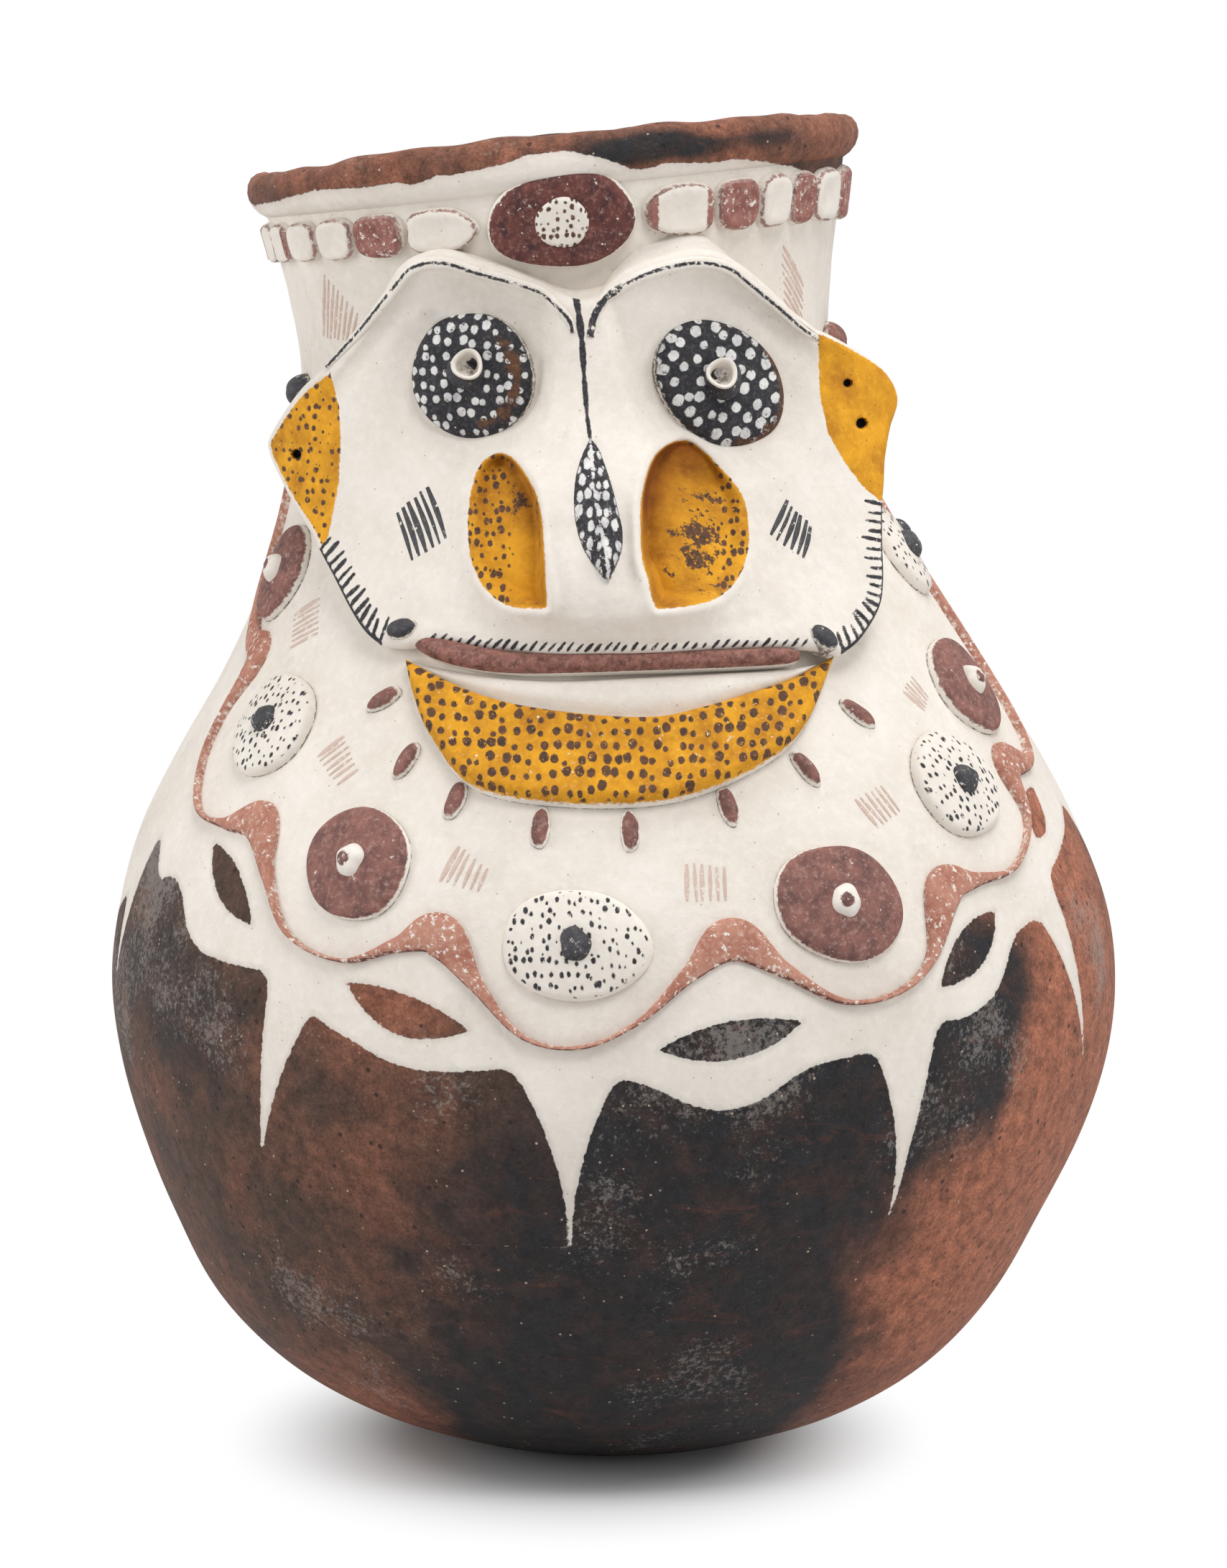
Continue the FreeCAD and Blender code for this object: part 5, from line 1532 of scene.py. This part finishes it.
medal = {"angle": 1.5, "share": 0.977, "halfWidth": 36.0, "halfHeight": 24.0, "proud": 9.0}
seat = onWall(medal["angle"], jar["seatHeight"] * medal["share"])
medallion, across, up, inward = thumbed(
    "forehead_medallion_clay", fineDisc, seat, medal["halfWidth"], medal["halfHeight"],
    domeForm(medal["proud"] - 1.5, 5.0, medal["proud"], 2.0), sink=4.0, power=2.15, wobble=0.04,
)
keepOnVertices(medallion, paint=inward - 1.2)
finishPiece(medallion, ["forehead_medallion"], darkRedMaterial)
centre, across, up, inward = thumbed(
    "medallion_centre_clay", smallDisc, seat, 13.0, 12.5,
    lambda share, inward, across, up: 6.4 + 2.6 * softEdge(inward, 2.5) - 0.6 * np.exp(-((share / 0.5) ** 2)),
    sink=-3.0, wobble=0.035,
)
keepOnVertices(centre, paint=inward + 0.6)
finishPiece(centre, ["medallion_centre"], fineDottedMaterial)
print("band and medallion made")

# Festoon: bosses with knobs, the ribbon below them and the knobs at the neck
festoon = {
    "halfWidth": 31.0,
    "halfHeight": 27.5,
    "proud": 8.0,
    "edge": 4.6,
    "knobRadius": 8.0,
    "knobProud": 9.0,
    # angle, height share, width share, height share of the boss, its turn
    "rows": ((-68.0, 0.702, 0.72, 1.02, -20), (-52.0, 0.5925, 0.96, 1.03, -12), (-30.1, 0.502, 0.94, 1.04, 0),
             (-3.9, 0.450, 1.18, 0.96, 0), (26.4, 0.4745, 1.10, 1.05, 0), (49.4, 0.550, 0.95, 1.03, 15),
             (64.8, 0.616, 0.90, 0.98, 20), (75.0, 0.716, 0.78, 0.88, 0)),
    "ribbonHalf": 10.0,
    "ribbonRise": 4.5,
    "ribbonSunk": 1.6,
    "ribbon": (
        (-90.0, 0.775, 0.25), (-83.0, 0.722, 0.28), (-72.0, 0.655, 0.62), (-66.0, 0.640, 0.95),
        (-67.5, 0.598, 0.32), (-66.0, 0.560, 0.22), (-60.5, 0.525, 0.22), (-53.5, 0.519, 0.40),
        (-46.5, 0.524, 1.00), (-42.5, 0.487, 0.48), (-38.0, 0.447, 0.24), (-30.5, 0.432, 0.22),
        (-24.0, 0.446, 0.50), (-19.0, 0.455, 1.00), (-14.6, 0.420, 0.50), (-9.5, 0.384, 0.24),
        (-3.5, 0.377, 0.22), (2.5, 0.395, 0.26), (8.2, 0.430, 0.55), (13.2, 0.453, 1.00),
        (18.5, 0.430, 0.52), (25.0, 0.405, 0.28), (31.5, 0.408, 0.27), (36.5, 0.430, 0.42),
        (40.8, 0.478, 1.00), (46.5, 0.482, 0.50), (54.0, 0.486, 0.25), (61.5, 0.518, 0.30),
        (63.5, 0.558, 1.00), (72.0, 0.556, 0.45), (78.0, 0.590, 0.30), (81.5, 0.640, 0.40),
        (84.0, 0.705, 0.60), (90.0, 0.775, 0.25),
    ),
}


def bothSides(side, angle, turn):
    # The back carries the front's festoon, mirrored
    return (angle, turn) if side == "front" else (180 - angle, -turn)


for side in ("front", "back"):
    knobs = []
    for number, (angle, share, wide, tall, turn) in enumerate(festoon["rows"], 1):
        here, turned = bothSides(side, angle, turn)
        height = jar["seatHeight"] * share
        seat = onWall(here, height, turned)
        boss, across, up, inward = thumbed(
            side + "_boss_" + str(number) + "_clay", fineDisc, seat, festoon["halfWidth"] * wide,
            festoon["halfHeight"] * tall, domeForm(festoon["edge"], 3.4, festoon["proud"]),
            sink=4.0, power=2.05, wobble=0.03,
        )
        red = number % 2 == 1
        keepOnVertices(boss, paint=inward - (0.8 if red else 1.2))
        finishPiece(
            boss, [side + "_boss_" + str(number)],
            redMaterial if red else dottedWhiteMaterial,
        )
        knob, across, up, inward = thumbed(
            "knob", smallDisc, seat, festoon["knobRadius"], festoon["knobRadius"] * 1.05,
            lambda share, inward, across, up: 5.0 + 7.5 * softEdge(inward, 5.5) - 0.5 * share,
            sink=-3.0, wobble=0.09,
        )
        # Black on the white bosses; white on the red ones, with a dark red spot in the middle that is red paint
        # and painted shade of a hollow centre
        hollow = 3.4 - np.hypot(across + 1.5, up + 0.5)
        keepOnVertices(knob, paint=-4.0 if red else inward + 4, stain=hollow if red else -4.0)
        knobs.append(knob)
    finishPiece(joined(side + "_boss_knobs_clay", knobs), [side + "_boss_knobs"], knobMaterial)
    rows = []
    for angle, share, width in festoon["ribbon"]:
        here = bothSides(side, angle, 0)[0]
        half = festoon["ribbonHalf"] * 1.08 * width ** 1.55
        rows.append((here, jar["seatHeight"] * share, half, festoon["ribbonRise"]))
    if side == "back":
        rows = rows[::-1]
    ribbon = coilPiece(
        side + "_ribbon_clay", rows, wallAt, along=800, around=20, sunk=festoon["ribbonSunk"], reach=(4.1, 1.0),
        flatness=0.6,
    )
    inward = valuesOf(ribbon, "edge")
    # A dark red line along the ribbon's lower edge only: painted shadow under the raised strip
    line = np.where(valuesOf(ribbon, "aside") > 0, 0.5 - np.abs(inward - 0.3), -4)
    keepOnVertices(ribbon, stain=inward + 0.2, paint=line)
    finishPiece(ribbon, [side + "_ribbon_left", side + "_ribbon_right"], ribbonMaterial)

for side, angle, share, material in (
    ("left", -75.0, 0.842, blackMaterial), ("right", 80.0, 0.876, redMaterial),
):
    knob, across, up, inward = thumbed(
        "neck_knob_" + side + "_clay", smallDisc, onWall(angle, jar["seatHeight"] * share), 9.0, 9.5,
        lambda share, inward, across, up: 11.0 * softEdge(inward, 8.0), sink=4.0, wobble=0.06,
    )
    keepOnVertices(knob, paint=inward)
    finishPiece(knob, ["neck_knob_" + side], material)
print("festoon hung")

# Faint brushed hatches on the neck and shoulder, each a skin of paint
hatches = {
    # Middle of a group, its first and last stroke in mm from there, strokes
    "neck": (
        (-58.6, 599.2, (8.1, 13.7, -6.0, -22.4), (30.0, -8.3, 20.4, -24.5), 8),
        (59.5, 595.2, (-16.0, 17.4, 8.0, -2.0), (-11.9, -6.4, 8.0, -21.0), 7),
    ),
    "shoulder": (
        (-54.7, 434.2, (-13.6, 1.6, 5.7, 12.4), (-5.2, -15.4, 13.9, -6.4), 7),
        (-38.4, 376.0, (-9.2, -4.3, 3.2, 8.2), (8.5, -18.1, 18.0, -9.3), 7),
        (-17.1, 325.4, (-9.8, -5.8, -2.2, 12.0), (9.7, -10.6, 13.6, 1.1), 6),
        (10.9, 321.0, (-7.9, 8.7, -9.2, -9.9), (10.7, 6.1, 9.3, -9.8), 6),
        (34.9, 351.9, (-10.9, 3.1, -3.0, -12.0), (6.4, 9.4, 13.2, -4.8), 6),
        (50.6, 394.6, (-7.6, 8.7, 1.7, -4.0), (6.2, 15.0, 10.3, 3.1), 5),
    ),
    "half": 1.15,
}


def hatchPiece(name, groups, mirrored=False):
    # Each stroke a thin skin of paint on the wall
    made = []
    for angle, height, first, last, count in groups:
        seat = onWall(180 - angle if mirrored else angle, height)
        for stroke in range(count):
            share = stroke / (count - 1)
            ends = [a + (b - a) * share + random.uniform(-0.5, 0.5) for a, b in zip(first, last)]
            if mirrored:
                ends[0], ends[2] = -ends[0], -ends[2]
            half = hatches["half"] * random.uniform(0.75, 1.1) * (1.35 if stroke == 0 else 1)
            rows = []
            for part, width in ((0, 0.5), (0.3, 1.0), (0.7, 1.0), (1, 0.5)):
                across = ends[0] + (ends[2] - ends[0]) * part
                up = ends[1] + (ends[3] - ends[1]) * part + 0.8 * part * (1 - part)
                rows.append((across, up, half * width, 0.4))
            piece = coilPiece("stroke", rows, seat, along=14, around=8, sunk=0.6, flatness=0.6)
            keepOnVertices(piece, paint=valuesOf(piece, "edge") + 0.1)
            made.append(piece)
    return finishPiece(joined(name, made), [], hatchMaterial)


def faintWashMaterial():
    # Red wash so thin that the white shows through it
    material, tree, place = startMaterial("faintRedWash")
    coat, height = whiteSlip(tree, place)
    paint = addNode(tree, "Attribute", {}, "Fac", attribute_name="paint")
    wash = layPaint(tree, place, coat, paint, "wash", 0.6, 0.5, 0.3)
    coat = addNode(tree, "Mix", {0: 0.5, 6: coat, 7: wash}, 2, data_type="RGBA")
    endMaterial(tree, coat, slip["roughness"], height, 0.3)
    return material


hatchMaterial = faintWashMaterial()
hatchPiece("neck_hatches_paint", hatches["neck"])
hatchPiece("front_shoulder_hatches_paint", hatches["shoulder"])
hatchPiece("back_shoulder_hatches_paint", hatches["shoulder"], True)
for template in (fineDisc, smallDisc):
    bpy.data.objects.remove(template)
print("hatches brushed")

# Room, light and camera
room = {
    "floor": "#E6E6E6",
    "floorSize": 14.0,
    "skyStrength": 0.4,
    # distance from the shadow's middle, in mm, at which the floor's own tone gives way to white
    "shadowFrom": 80.0,
    "shadowTo": 190.0,
    # name, place, aim, width, height, watts
    "lamps": (
        ("keySoftbox", (0.5, -1.6, 2.6), (0, 0, 0.35), 1.1, 0.9, 30.5),
        ("rightSoftbox", (2.2, -0.9, 0.95), (0, 0, 0.3), 0.9, 1.6, 14.5),
        ("leftSoftbox", (-2.2, -0.8, 1.2), (0, 0, 0.35), 0.9, 1.8, 25),
        ("topSoftbox", (0.3, 0.0, 2.6), (0, 0, 0.3), 1.3, 1.3, 25),
    ),
}


def seenDirectly(tree):
    # The rays that show the room: the camera's own, and those mirrored or let through on their way to it
    rays = addNode(tree, "LightPath", {}, "Is Camera Ray")
    shown = addNode(tree, "Math", (rays, rays.node.outputs["Is Glossy Ray"]), operation="MAXIMUM")
    return addNode(tree, "Math", (shown, rays.node.outputs["Is Transmission Ray"]), operation="MAXIMUM")


def floorMaterial():
    # Pale studio floor: white to the camera away from the jar, with the jar's shadow on it
    material, tree, place = startMaterial("paleFloor")
    matt = addNode(tree, "BsdfDiffuse", {"Color": colourOf(room["floor"])})
    white = addNode(tree, "Emission", {"Color": (1, 1, 1, 1), "Strength": 1.0})
    around = addNode(tree, "Mapping", {"Vector": place, "Location": (19, 9.0, 0), "Scale": (1, 0.75, 1)})
    away = addNode(tree, "VectorMath", {0: around}, "Value", operation="LENGTH")
    far = addNode(
        tree, "MapRange", (away, room["shadowFrom"], room["shadowTo"], 0, 1), interpolation_type="SMOOTHSTEP",
    )
    shown = addNode(tree, "MixShader", (far, matt, white))
    addNode(tree, "OutputMaterial", (addNode(tree, "MixShader", (seenDirectly(tree), matt, shown)),))
    return material


bpy.ops.object.select_all(action="DESELECT")
bpy.ops.mesh.primitive_plane_add(size=room["floorSize"], location=(0, 0, 0))
floor = bpy.context.object
floor.name = "studioFloor"
floor.data.materials.append(floorMaterial())

world = bpy.data.worlds.new("studioWorld")
bpy.context.scene.world = world
world.use_nodes = True
sky = world.node_tree
sky.nodes.clear()
lit, shown = (
    addNode(sky, "Background", {"Color": (1, 1, 1, 1), "Strength": strength})
    for strength in (room["skyStrength"], 1.0)
)
addNode(sky, "OutputWorld", (addNode(sky, "MixShader", (seenDirectly(sky), lit, shown)),))

for name, place, aim, width, height, watts in room["lamps"]:
    bpy.ops.object.light_add(type="AREA", location=place)
    lamp = bpy.context.object
    lamp.name = name
    lamp.data.shape = "RECTANGLE"
    lamp.data.size, lamp.data.size_y = width, height
    lamp.data.energy = watts
    lamp.rotation_euler = (Vector(aim) - Vector(place)).to_track_quat("-Z", "Y").to_euler()

# The photograph's view: level with the rim, a long lens looking a little down
view = {"place": (0.0, -2.8853, 0.6691), "down": 6.5, "lens": 128.6}
bpy.ops.object.camera_add(location=view["place"], rotation=(math.radians(90 - view["down"]), 0, 0))
camera = bpy.context.object
camera.name = "photographView"
camera.data.sensor_fit = "VERTICAL"
camera.data.sensor_height = 36
camera.data.lens = view["lens"]
bpy.context.scene.camera = camera
bpy.context.scene.view_settings.view_transform = "Standard"
print("camera and lamps placed")
